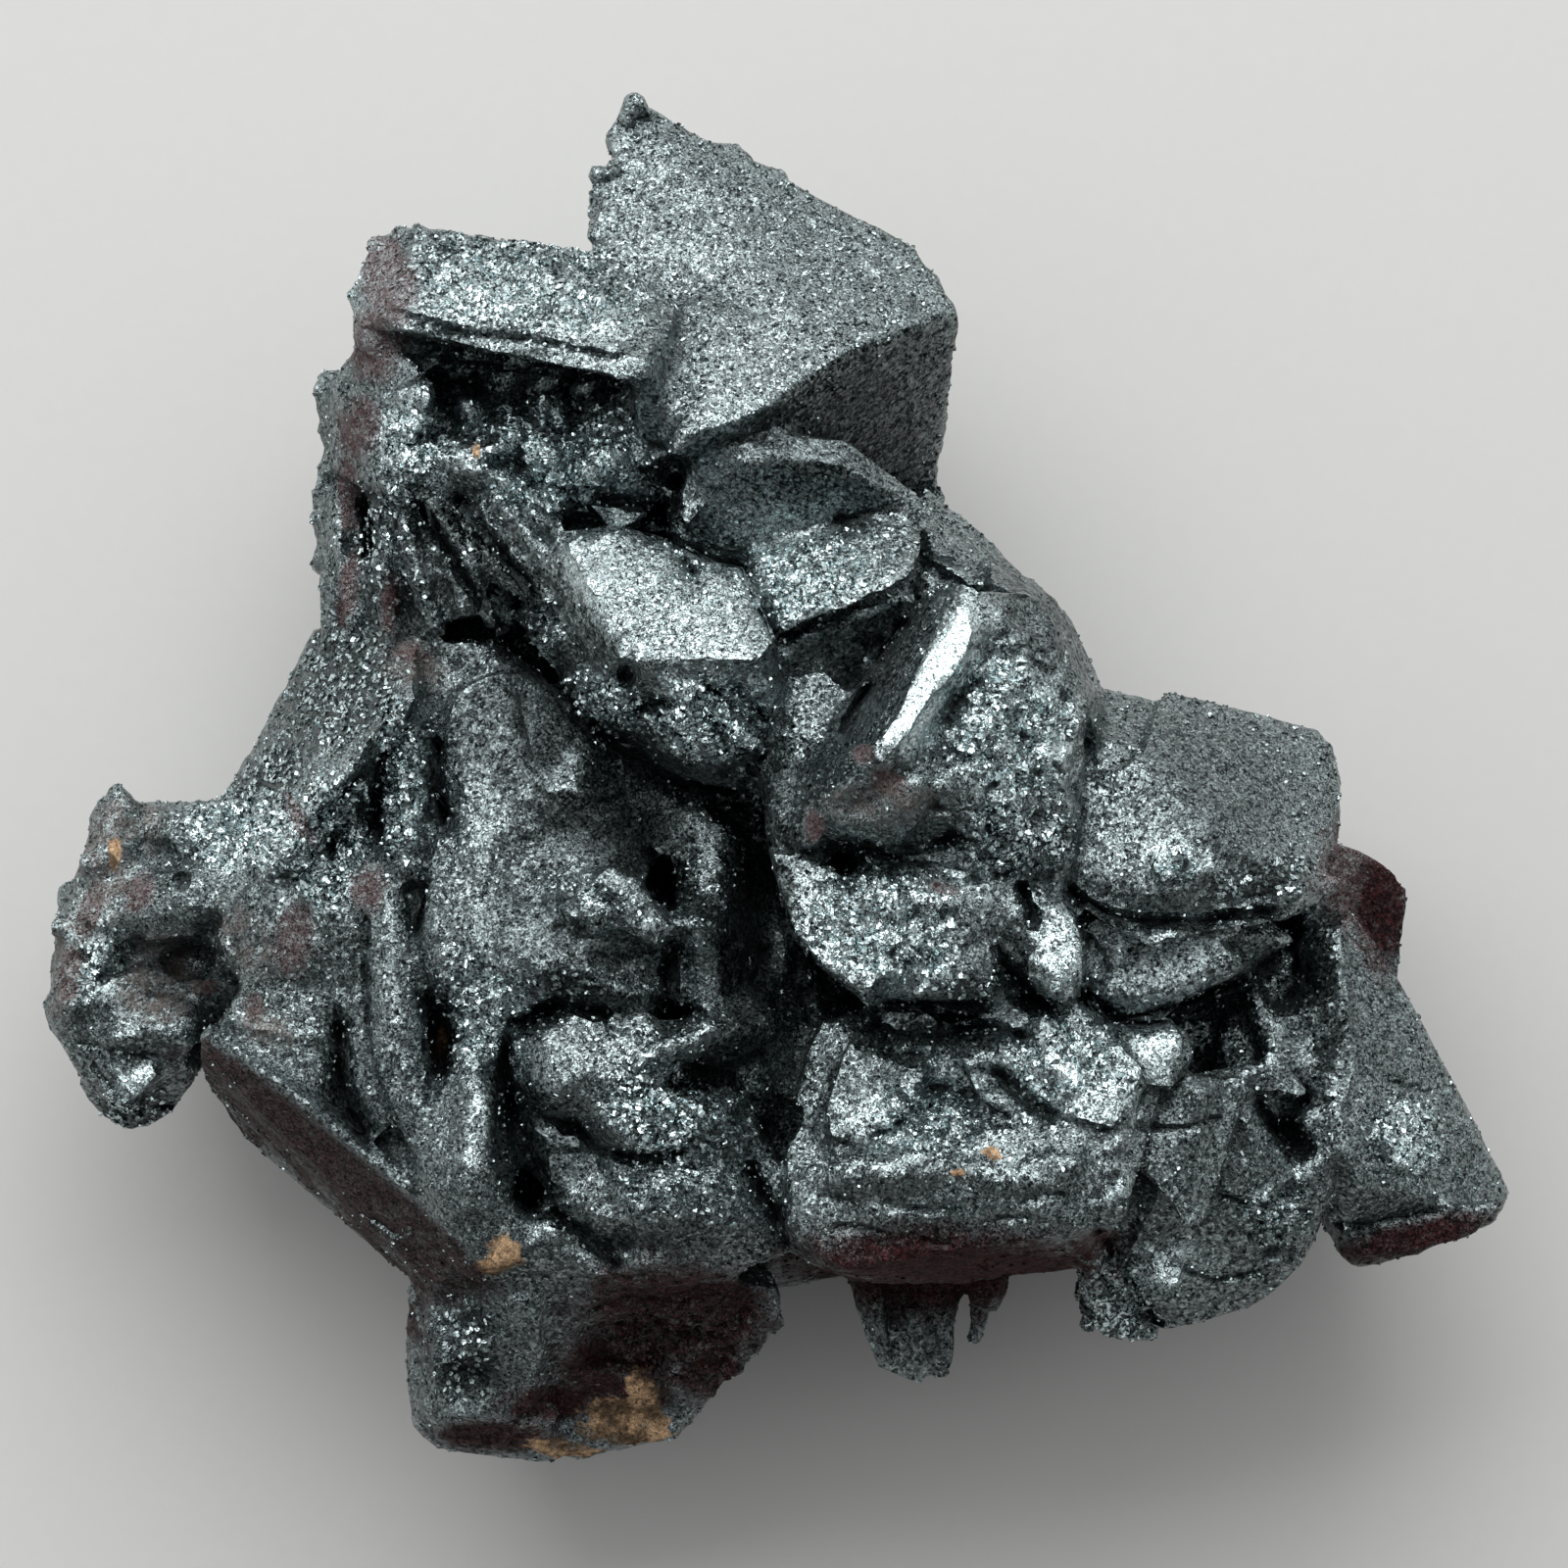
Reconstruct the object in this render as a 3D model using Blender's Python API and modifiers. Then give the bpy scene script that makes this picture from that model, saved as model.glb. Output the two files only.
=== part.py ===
"""Hematite pseudomorph after magnetite: a cluster of intergrown octahedral crystals, lying on its back.

Every shape is given in millimetres. +X is to the right, +Y is up the face and +Z comes out of the face.
The cluster rests on the flat break at z = 0.
"""

import math
import random

import bmesh
import bpy
from mathutils import Matrix, Vector

MM = 0.001

# Driving dimensions, in millimetres
CORE_TOP = 26.0          # height of the matrix that the crystals grow from
CORE_GIRDLE = 15.0       # height at which the matrix is widest
BREAK_SHRINK = 0.72      # size of the flat break against the widest outline
CRYSTAL_ROOT = 12.0      # height at which the front crystals sink into the matrix
RIDGE_SIDES = 7          # sides of each rounded ridge
RIDGE_RINGS = 5          # rings of each rounded ridge
LEDGE_STEP = 0.75        # height of one growth layer
KNOB_SIZE = 1.3          # radius of the small balls along the free edges
SOFT_VOXEL = 0.8         # grain of the merged soft groups
LUMP_SIZE = 5.0          # distance between the lumps of the soft groups
SURFACE_VOXEL = 0.45     # grain of the whole cluster before it is thinned
GROOVE_FLOOR = 31.0      # height down to which the upright grooves are cut
GROOVE_TOP = 46.0        # height above the face from which they are cut
GROOVE_WIDTH = 1.7       # half the width of their cutters at that height
GROOVE_TAPER = (0.7, 1.0, 0.7)  # share of the depth and width at the three points of each
BASE_CUT = 0.5           # thickness taken off underneath to leave a flat break
FIRST_SHARE = 0.25       # share of the merged faces that the hollows are cut in
TRIANGLE_COUNT = 9400    # triangles of the finished solid
SAW_SIZE = 200.0         # side of the block that saws the underside flat
SEED = 11                # start of the random numbers for the rough places

CLUSTER_NAME = "crystal_cluster"


def clear_scene():
    for thing in list(bpy.data.objects):
        bpy.data.objects.remove(thing, do_unlink=True)


def new_collection(name):
    made = bpy.data.collections.new(name)
    bpy.context.scene.collection.children.link(made)
    return made


def link_mesh(name, work, collection):
    """Makes an object from a bmesh and puts it in a collection."""
    bmesh.ops.recalc_face_normals(work, faces=work.faces)
    mesh = bpy.data.meshes.new(name)
    work.to_mesh(mesh)
    work.free()
    made = bpy.data.objects.new(name, mesh)
    collection.objects.link(made)
    return made


def wrap(work):
    """Wraps the points of a bmesh in their convex hull and drops the points inside it."""
    result = bmesh.ops.convex_hull(work, input=work.verts, use_existing_faces=False)
    spare = []
    for item in result["geom_interior"] + result["geom_unused"]:
        if isinstance(item, bmesh.types.BMVert):
            spare.append(item)
    if spare:
        bmesh.ops.delete(work, geom=list(set(spare)), context="VERTS")


def crystal(name, corners, collection):
    """A crystal with flat faces: the convex hull of its corners."""
    work = bmesh.new()
    for corner in corners:
        work.verts.new(Vector(corner) * MM)
    wrap(work)
    return link_mesh(name, work, collection)


def rooted(front, root_z=CRYSTAL_ROOT, shrink=0.7, drift=(0.0, 0.0)):
    """The front corners, and the same outline narrowed and sunk to root_z."""
    middle_x = sum(corner[0] for corner in front) / len(front)
    middle_y = sum(corner[1] for corner in front) / len(front)
    root = []
    for x, y, z in front:
        root_x = middle_x + (x - middle_x) * shrink + drift[0]
        root_y = middle_y + (y - middle_y) * shrink + drift[1]
        root.append((root_x, root_y, root_z))
    return list(front) + root


def octahedron(name, middle, radius, turn, collection):
    """An octahedron turned by three angles in degrees about X, Y and Z."""
    work = bmesh.new()
    bmesh.ops.create_uvsphere(work, u_segments=4, v_segments=2, radius=radius * MM)
    for axis, angle in zip("XYZ", turn):
        turning = Matrix.Rotation(math.radians(angle), 3, axis)
        bmesh.ops.rotate(work, verts=work.verts, cent=(0, 0, 0), matrix=turning)
    bmesh.ops.translate(work, verts=work.verts, vec=Vector(middle) * MM)
    return link_mesh(name, work, collection)


def add_solid(work, points):
    """Adds the convex hull of some points to a bmesh that holds other solids."""
    single = bmesh.new()
    for point in points:
        single.verts.new(point)
    wrap(single)
    bmesh.ops.recalc_face_normals(single, faces=single.faces)
    passing = bpy.data.meshes.new("passing")
    single.to_mesh(passing)
    single.free()
    work.from_mesh(passing)
    bpy.data.meshes.remove(passing)


def ball_points(middle, radius):
    """The points of a coarse ball, in metres."""
    ball = bmesh.new()
    bmesh.ops.create_uvsphere(ball, u_segments=RIDGE_SIDES, v_segments=RIDGE_RINGS, radius=radius * MM)
    points = [Vector(middle) * MM + vertex.co for vertex in ball.verts]
    ball.free()
    return points


def add_ridge(work, path):
    """A rounded ridge: each stretch is the hull of two balls. A path point is x, y, z, radius."""
    for start, end in zip(path, path[1:]):
        add_solid(work, ball_points(start[:3], start[3]) + ball_points(end[:3], end[3]))


def ridge(name, path, collection):
    """A rounded ridge as an object of its own."""
    for number, (start, end) in enumerate(zip(path, path[1:])):
        work = bmesh.new()
        add_ridge(work, (start, end))
        link_mesh(f"{name}_{number}", work, collection)


def soft_group(name, paths, blocks, collection, smoothing=8, roughness=0.9):
    """Ridges and blocks that have run together: merged by voxels, then smoothed and made uneven."""
    work = bmesh.new()
    for path in paths:
        add_ridge(work, path)
    for block in blocks:
        add_solid(work, [Vector(corner) * MM for corner in block])
    made = link_mesh(name, work, collection)
    merge = made.modifiers.new("merge", "REMESH")
    merge.mode = "VOXEL"
    merge.voxel_size = SOFT_VOXEL * MM
    relax = made.modifiers.new("relax", "SMOOTH")
    relax.factor = 0.5
    relax.iterations = smoothing
    uneven = made.modifiers.new("uneven", "DISPLACE")
    uneven.texture = lumpy_texture()
    uneven.texture_coords = "LOCAL"
    uneven.strength = roughness * MM
    uneven.mid_level = 0.5
    return made


def lumpy_texture():
    """Soft noise a few millimetres across."""
    found = bpy.data.textures.get("lumps")
    if found:
        return found
    made = bpy.data.textures.new("lumps", "CLOUDS")
    made.noise_scale = LUMP_SIZE * MM
    made.noise_depth = 2
    return made


def knobs(name, start, end, count, size, spread, collection, chance):
    """A row of small faceted balls along an edge."""
    for number in range(count):
        share = (number + 0.5) / count
        middle = Vector(start).lerp(Vector(end), share)
        middle += Vector([chance.uniform(-spread, spread) for _ in range(3)])
        work = bmesh.new()
        bmesh.ops.create_icosphere(work, subdivisions=1, radius=size * chance.uniform(0.7, 1.15) * MM)
        turning = Matrix.Rotation(chance.uniform(0, 3), 3, "Z")
        bmesh.ops.rotate(work, verts=work.verts, cent=(0, 0, 0), matrix=turning)
        bmesh.ops.translate(work, verts=work.verts, vec=middle * MM)
        link_mesh(f"{name}_{number}", work, collection)


def layered_edge(name, start, end, inward, collection, chance, layers=3, pieces=4, drop=0.9, width=3.0):
    """Growth layers along an edge: thin uneven plates, each a step below and behind the last."""
    start = Vector(start)
    end = Vector(end)
    inward = Vector(inward)
    for layer in range(layers):
        for piece in range(pieces):
            first = (piece + chance.uniform(-0.15, 0.1)) / pieces
            last = (piece + 1 + chance.uniform(0.0, 0.2)) / pieces
            back = inward * (layer * chance.uniform(0.25, 0.6))
            low = Vector((0.0, 0.0, -layer * drop))
            near_a = start.lerp(end, first) + back + low
            near_b = start.lerp(end, last) + back + low
            corners = []
            for near in (near_a, near_b):
                for lift in (0.0, -LEDGE_STEP):
                    corners.append(near + Vector((0.0, 0.0, lift)))
                    corners.append(near + inward * width + Vector((0.0, 0.0, lift)))
            crystal(f"{name}_{layer}_{piece}", corners, collection)


def matrix_core(growths):
    """The mass under the crystals, from the flat break up to where the crystals take over."""
    upper = [
        (-30, 36), (-12, 39), (3, 36), (7, 28), (10, 20), (14, 13), (0, 0), (-30, 0), (-36, 8),
        (-36, 20),
    ]
    lower = [
        (-20, 14), (12, 12), (25, 1), (41, -5), (46, -18), (42, -32), (26, -37), (8, -36), (-4, -41),
        (-22, -46),
        (-30, -36), (-43, -23), (-45, -8), (-40, 1),
    ]
    for name, outline, middle in (("core_upper", upper, (-12, 18)), ("core_lower", lower, (-2, -14))):
        corners = []
        for number, (x, y) in enumerate(outline):
            away = Vector((x - middle[0], y - middle[1]))
            girdle = CORE_GIRDLE + 2.5 * math.sin(2.1 * number)
            shoulder = CORE_TOP - 1.5 + 1.5 * math.cos(1.7 * number)
            foot = BREAK_SHRINK + 0.05 * math.sin(1.9 * number)
            # The mass is widest at its girdle, and it draws in above it and down to the break.
            for share, height in ((1.0, girdle), (0.9, shoulder), (foot, 0.0)):
                corners.append((middle[0] + away.x * share, middle[1] + away.y * share, height))
        crystal(name, corners, growths)


def top_crystal(growths, chance):
    """The large crystal at the top: one wide face towards the viewer, and a dark face under it."""
    crystal("top_crystal", [
        (-12.4, 56.2, 27.0), (-8.8, 53.8, 28.0), (1.2, 48.4, 30.0), (10.8, 43.6, 33.0),
        (14.2, 38.6, 35.5),
        (8.0, 36.0, 40.5), (4.0, 34.0, 43.5), (0.0, 30.6, 45.6), (-3.6, 28.4, 46.6), (-9.0, 26.4, 48.0),
        (-15.4, 43.0, 36.5), (-15.2, 46.4, 34.2), (-14.6, 48.2, 32.6), (-13.6, 52.0, 29.8),
        (13.6, 30.0, 24.0), (12.4, 24.0, 19.0), (4.0, 26.0, 29.0), (-2.0, 27.0, 37.0),
        (-13.0, 48.0, 15.0), (3.0, 42.0, 12.0), (9.0, 28.0, 9.0), (-9.0, 26.0, 8.0),
        (-14.0, 38.0, 12.0),
    ], growths)
    # A second, thinner layer over the lower left of the wide face.
    crystal("top_layer", [
        (-8.6, 39.0, 40.6), (2.0, 39.5, 38.2), (5.0, 35.0, 42.6), (0.2, 31.0, 46.2), (-3.4, 28.9, 47.3),
        (-8.6, 27.6, 48.6), (-9.2, 33.0, 45.0),
        (-6.0, 36.0, 36.0), (0.0, 33.0, 38.0), (-7.0, 29.0, 40.0),
    ], growths)
    knobs("top_tip", (-12.2, 55.6, 27.5), (-13.6, 52.2, 28.6), 3, KNOB_SIZE, 0.4, growths, chance)
    knobs("top_left", (-14.9, 49.8, 30.4), (-14.9, 44.0, 33.0), 5, KNOB_SIZE * 0.8, 0.5, growths, chance)
    knobs("top_right", (-6.0, 52.6, 27.5), (0.8, 49.2, 28.8), 5, KNOB_SIZE * 0.75, 0.4, growths, chance)
    knobs("top_rim", (3.0, 47.6, 29.4), (13.4, 40.6, 33.0), 6, KNOB_SIZE * 0.6, 0.3, growths, chance)
    knobs("top_under", (12.6, 27.0, 20.0), (12.0, 22.0, 19.0), 4, KNOB_SIZE * 0.8, 0.5, growths, chance)


def upper_left_slab(growths, chance):
    """The slab at the upper left, with its layered lower edge standing over a hollow."""
    crystal("slab", [
        (-29.6, 45.2, 38.4), (-24.0, 44.2, 38.6), (-16.0, 43.0, 39.0), (-8.8, 38.8, 43.2),
        (-11.0, 33.4, 49.0),
        (-21.6, 36.0, 47.4), (-31.0, 37.8, 45.8),
        (-33.6, 43.4, 35.4), (-35.0, 39.8, 36.0), (-34.2, 37.0, 39.0), (-32.0, 44.8, 35.4),
        (-11.4, 32.2, 46.4), (-21.6, 34.4, 44.6), (-31.4, 36.4, 43.0),
        (-32.0, 41.0, 24.0), (-28.0, 38.0, 24.0), (-14.0, 38.0, 26.0), (-14.0, 41.0, 28.0),
        (-28.0, 43.0, 26.0),
    ], growths)
    layered_edge("slab_ledge", (-31.6, 36.4, 46.0), (-11.2, 31.8, 49.6), (0.1, 0.85, -0.85),
                 growths, chance,
                 layers=4, pieces=5, drop=1.1, width=3.4)
    # The side of the slab that falls away to the wide face of the top crystal.
    crystal("slab_side", [
        (-10.8, 33.4, 48.6), (-8.6, 38.4, 43.4), (-8.6, 34.0, 44.0), (-8.8, 27.6, 46.0),
        (-11.8, 28.2, 44.0),
        (-12.0, 32.0, 46.0), (-12.0, 36.0, 30.0), (-12.0, 26.0, 30.0), (-8.0, 26.0, 32.0),
    ], growths)
    # The rounded, reddish left end and the rough column under it.
    ridge("slab_end", [
        (-32.0, 42.8, 35.4, 1.8), (-33.2, 39.8, 36.2, 1.9), (-32.8, 36.2, 37.4, 2.2),
    ], growths)
    crystal("slab_prop", rooted([
        (-34.0, 38.6, 36.6), (-30.0, 38.2, 38.6), (-27.0, 36.6, 39.6), (-28.0, 33.6, 37.0),
        (-33.6, 33.6, 36.0),
    ], 14.0, 0.9), growths)
    crystal("left_column", rooted([
        (-37.2, 32.2, 33.0), (-34.6, 35.4, 37.0), (-30.0, 34.6, 41.0), (-28.6, 31.6, 41.4),
        (-29.4, 27.0, 41.0),
        (-30.6, 22.6, 39.6), (-33.6, 23.4, 37.4), (-37.0, 25.6, 32.0),
    ], 14.0, 0.8), growths)
    crystal("left_column_chip", rooted([
        (-31.6, 31.8, 42.2), (-28.8, 32.6, 42.8), (-28.4, 29.6, 43.0), (-30.2, 28.2, 42.4),
    ], 34.0, 0.8), growths)
    knobs("left_edge", (-37.4, 34.0, 31.0), (-38.0, 17.0, 27.0),
          11, KNOB_SIZE * 0.8, 0.5, growths, chance)
    knobs("slab_top", (-33.6, 42.6, 35.0), (-30.0, 45.0, 35.6), 4, KNOB_SIZE * 0.7, 0.3, growths, chance)
    # Lumps on the floor of the hollow under the slab.
    crystal("hollow_floor", rooted([
        (-30.0, 33.0, 29.0), (-20.0, 33.5, 30.0), (-11.0, 32.0, 32.0), (-9.0, 25.0, 37.0),
        (-12.0, 21.0, 38.0),
        (-20.0, 22.0, 37.0), (-29.0, 24.0, 36.0),
    ], 14.0, 0.9), growths)
    lumps = [
        [(-27.0, 29.5, 32.0, 2.4), (-25.0, 26.5, 36.6, 2.6), (-23.6, 25.2, 38.0, 2.0)],
        [(-22.4, 31.0, 32.0, 2.0), (-21.5, 27.4, 36.6, 2.4), (-20.6, 24.8, 39.0, 1.8)],
        [(-18.5, 30.5, 32.0, 1.9), (-17.6, 26.6, 36.6, 2.4)],
        [(-14.6, 30.0, 36.0, 2.0), (-13.4, 27.2, 39.6, 2.6), (-15.2, 24.0, 38.8, 2.2),
         (-13.0, 22.0, 38.6, 2.0)],
        [(-12.0, 31.6, 40.0, 1.6), (-10.6, 27.0, 41.0, 1.8)],
    ]
    soft_group("hollow_lumps", lumps, [], growths, 2, 1.4)
    crystal("shelf", rooted([
        (-30.4, 26.8, 41.0), (-27.0, 27.0, 42.0), (-22.0, 24.0, 42.6), (-18.2, 21.6, 43.0),
        (-17.6, 20.0, 42.4),
        (-20.0, 19.6, 41.6), (-26.0, 22.6, 41.0), (-29.6, 24.0, 40.0),
    ], 28.0, 0.7, (0.0, 1.5)), growths)


def left_folds(growths, chance):
    """Upright folds under the left column."""
    floor = rooted([
        (-37.6, 24.0, 26.0), (-30.0, 24.0, 33.0), (-22.0, 20.0, 35.0), (-20.0, 14.0, 35.0),
        (-24.0, 10.5, 33.0),
        (-32.0, 9.0, 30.0), (-38.0, 12.0, 24.0),
    ], 8.0, 0.85)
    folds = [
        [(-35.4, 23.0, 30.0, 2.4), (-35.8, 18.0, 29.6, 2.4), (-35.4, 11.0, 28.4, 2.6)],
        [(-32.2, 23.0, 34.6, 2.0), (-32.8, 17.0, 34.0, 2.2), (-31.6, 10.6, 32.6, 2.4)],
        [(-29.0, 24.0, 37.6, 1.8), (-29.4, 18.0, 36.8, 2.0), (-27.8, 12.6, 35.4, 2.2)],
        [(-26.2, 23.6, 39.4, 1.8), (-25.8, 18.0, 38.4, 2.0), (-23.8, 13.4, 37.0, 2.2)],
    ]
    soft_group("left_folds", folds, [floor], growths, 4)
    crystal("fold_blade_a", rooted([
        (-28.8, 25.6, 41.0), (-26.4, 25.0, 41.8), (-22.4, 19.2, 42.2), (-20.6, 15.4, 41.0),
        (-22.6, 15.4, 40.4),
        (-25.8, 19.0, 41.0),
    ], 30.0, 0.8), growths)
    crystal("fold_blade_b", rooted([
        (-24.6, 23.4, 42.8), (-19.6, 20.6, 44.2), (-19.4, 16.6, 44.0), (-22.0, 17.2, 42.6),
    ], 30.0, 0.85), growths)


def bright_crystal(growths, chance):
    """The brightest crystal, in the middle, with a dark left flank and a striated lower face."""
    crystal("bright_crystal", [
        (-18.4, 20.2, 46.6), (-13.0, 20.8, 47.4), (-8.0, 19.2, 48.8), (-3.6, 16.8, 50.6),
        (-0.8, 11.4, 54.4),
        (-4.0, 9.6, 55.4), (-12.4, 9.4, 55.0), (-14.6, 12.6, 52.4), (-18.0, 18.4, 47.8),
        (-21.6, 13.2, 38.0), (-15.8, 5.4, 39.6), (-8.0, 0.2, 40.6), (-2.0, -0.8, 41.6),
        (0.0, 7.6, 47.6),
        (-20.2, 17.6, 39.4), (-13.6, 6.8, 49.4), (-7.4, 2.6, 48.4), (-2.2, 1.6, 48.2),
        (-16.0, 16.0, 22.0), (-3.0, 15.0, 22.0), (-3.0, 7.0, 24.0), (-12.0, 7.0, 24.0),
    ], growths)
    # Growth steps on the face under the bright one.
    crystal("bright_step_a", rooted([
        (-12.6, 8.8, 54.2), (-4.2, 9.0, 54.8), (-1.4, 9.6, 53.4), (-1.6, 5.0, 50.6),
        (-6.0, 4.2, 50.8), (-12.8, 6.0, 51.6),
    ], 40.0, 0.6, (0.0, 1.0)), growths)
    crystal("bright_step_b", rooted([
        (-11.6, 6.4, 51.4), (-6.0, 5.6, 51.6), (-1.8, 5.2, 51.2), (-2.2, 2.2, 49.4),
        (-7.4, 2.8, 49.4), (-11.8, 5.0, 50.0),
    ], 40.0, 0.7, (0.0, 1.0)), growths)
    for number in range(3):
        shift = number * 1.9
        ridge(f"striation_{number}", [
            (-8.6 + shift, 7.4 - shift * 0.3, 53.2, 0.8), (-6.0 + shift, 2.8, 50.2, 0.7),
        ], growths)


def saddle_crystals(growths, chance):
    """The crystals between the top crystal and the central ridge."""
    crystal("saddle_left", rooted([
        (-2.8, 18.6, 43.0), (4.0, 20.0, 42.6), (10.6, 22.2, 42.0), (11.0, 19.0, 45.4),
        (10.2, 16.2, 48.6),
        (4.0, 13.6, 50.2), (-0.6, 11.8, 50.6), (-2.6, 15.6, 48.0),
    ], 24.0, 0.7, (-1.0, 2.0)), growths)
    crystal("saddle_floor", rooted([
        (-10.0, 25.6, 37.0), (-9.0, 19.0, 40.0), (-2.0, 10.0, 43.0), (8.0, 12.0, 42.0),
        (13.4, 17.0, 38.0), (12.0, 22.0, 36.0),
    ], 14.0, 0.9), growths)
    crystal("saddle_top", rooted([
        (-8.8, 24.0, 42.0), (-7.4, 26.2, 44.6), (-1.0, 26.6, 45.6), (5.0, 25.6, 44.6),
        (9.0, 23.6, 42.4),
        (10.8, 21.2, 41.0), (4.0, 19.6, 41.0), (-3.4, 18.4, 42.0), (-7.4, 19.6, 41.0),
    ], 16.0, 0.8), growths)
    crystal("saddle_edge", rooted([
        (-4.4, 27.2, 44.0), (0.0, 28.2, 44.2), (5.0, 27.6, 43.4), (12.0, 22.4, 41.6),
        (11.0, 21.2, 42.0), (4.6, 25.4, 45.0),
        (-3.6, 25.8, 45.6),
    ], 30.0, 0.6), growths)
    crystal("saddle_right", rooted([
        (11.0, 24.6, 34.0), (13.4, 21.0, 33.0), (16.4, 18.4, 34.0), (19.6, 17.2, 34.0),
        (17.0, 14.6, 42.0), (11.4, 18.4, 42.0),
    ], 10.0, 0.7, (-3.0, -1.0)), growths)
    knobs("saddle_rim", (12.4, 22.0, 33.0), (16.0, 18.8, 34.4), 4, KNOB_SIZE * 0.8, 0.4, growths, chance)
    # The dark wedge between the saddle and the ridge.
    crystal("saddle_wedge", rooted([
        (-0.6, 11.4, 47.0), (10.4, 15.6, 46.6), (8.0, 8.0, 42.0), (4.4, 2.6, 38.0), (0.0, 4.0, 40.0),
    ], 24.0, 0.8), growths)


def central_ridge(growths, chance):
    """The tall ridge right of the middle, with its grooved dark face and its rough bright face."""
    crystal("ridge_dark_face", [
        (13.8, 16.4, 54.0), (14.6, 15.0, 56.0), (7.4, 2.0, 58.0), (4.4, -1.0, 55.0),
        (0.0, -4.8, 49.0), (8.0, -5.6, 51.0),
        (0.6, 1.0, 47.0), (5.4, 7.2, 46.0), (11.8, 15.6, 47.0),
        (2.0, 2.0, 24.0), (12.0, 12.0, 24.0), (14.0, 0.0, 24.0), (4.0, -6.0, 24.0),
    ], growths)
    # The foot of the dark face runs down to the edge of the bright crystal.
    crystal("ridge_left_foot", rooted([
        (-1.4, 8.4, 46.0), (3.0, 9.4, 46.4), (6.0, 6.0, 47.4), (4.4, 0.0, 49.4),
        (3.0, -4.4, 50.0), (0.2, -5.2, 48.6), (-1.4, -4.4, 45.6), (-1.6, 1.0, 46.2),
    ], 22.0, 0.85), growths)
    crystal("ridge_crest", [
        (14.0, 16.4, 55.0), (15.6, 15.4, 55.6), (16.0, 12.6, 55.8), (9.4, 1.2, 57.6),
        (7.4, 1.4, 58.4), (9.0, 6.0, 58.0),
        (12.0, 4.0, 44.0), (9.0, 8.0, 44.0), (14.0, 12.0, 44.0),
    ], growths)
    crystal("ridge_rough_face", [
        (14.8, 15.4, 55.0), (20.0, 15.4, 49.0), (22.4, 11.6, 47.4), (24.2, 6.4, 46.6),
        (24.0, -2.0, 46.0),
        (22.8, -8.2, 46.4), (16.0, -6.6, 50.2), (8.4, -5.6, 51.8), (7.6, 1.4, 57.4),
        (16.4, 4.0, 53.4), (15.6, 12.4, 55.0),
        (22.0, 8.0, 20.0), (22.0, -6.0, 20.0), (10.0, -4.0, 20.0), (14.0, 12.0, 20.0),
    ], growths)
    # Grooves and growth plates on both faces.
    for number in range(3):
        shift = number * 2.2
        ridge(f"dark_groove_rib_{number}", [
            (12.4 - shift * 0.8, 14.2 - shift, 51.6 - shift * 0.6, 0.8),
            (7.2 - shift * 0.9, 3.2 - shift * 1.1, 54.6 - shift * 1.3, 0.9),
        ], growths)
    rough = [
        [(16.6, 13.6, 54.0, 1.4), (18.4, 10.4, 53.0, 1.8), (17.0, 7.0, 53.6, 1.6)],
        [(20.4, 13.0, 49.4, 1.6), (21.2, 9.0, 48.8, 1.8), (19.6, 5.6, 50.4, 1.8)],
        [(13.6, 6.6, 55.4, 1.4), (15.6, 3.4, 53.8, 2.0), (13.0, 0.4, 54.0, 1.8), (14.6, -2.8, 52.2, 1.6)],
        [(22.4, 5.0, 46.8, 1.8), (20.8, 1.4, 49.0, 2.0), (22.2, -3.0, 47.0, 2.0),
         (20.0, -6.4, 47.6, 1.6)],
        [(17.4, 1.0, 51.6, 1.8), (17.8, -4.0, 50.4, 1.8)],
        [(10.2, 0.0, 55.4, 1.6), (9.0, -3.0, 53.4, 1.8), (4.6, -2.4, 52.6, 1.8), (2.0, -4.4, 49.8, 1.4)],
    ]
    soft_group("ridge_lumps", rough, [], growths, 3, 2.0)
    # The smooth grey flank behind the ridge.
    crystal("grey_flank", [
        (16.4, 18.0, 40.0), (20.4, 16.6, 36.0), (23.4, 13.4, 34.0), (26.0, 7.8, 34.0),
        (25.4, 2.8, 41.0), (24.2, 6.8, 45.0),
        (20.0, 14.6, 47.0), (16.4, 16.4, 47.0),
        (14.0, 14.0, 12.0), (22.0, 8.0, 12.0), (22.0, 0.0, 12.0),
    ], growths)


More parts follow.
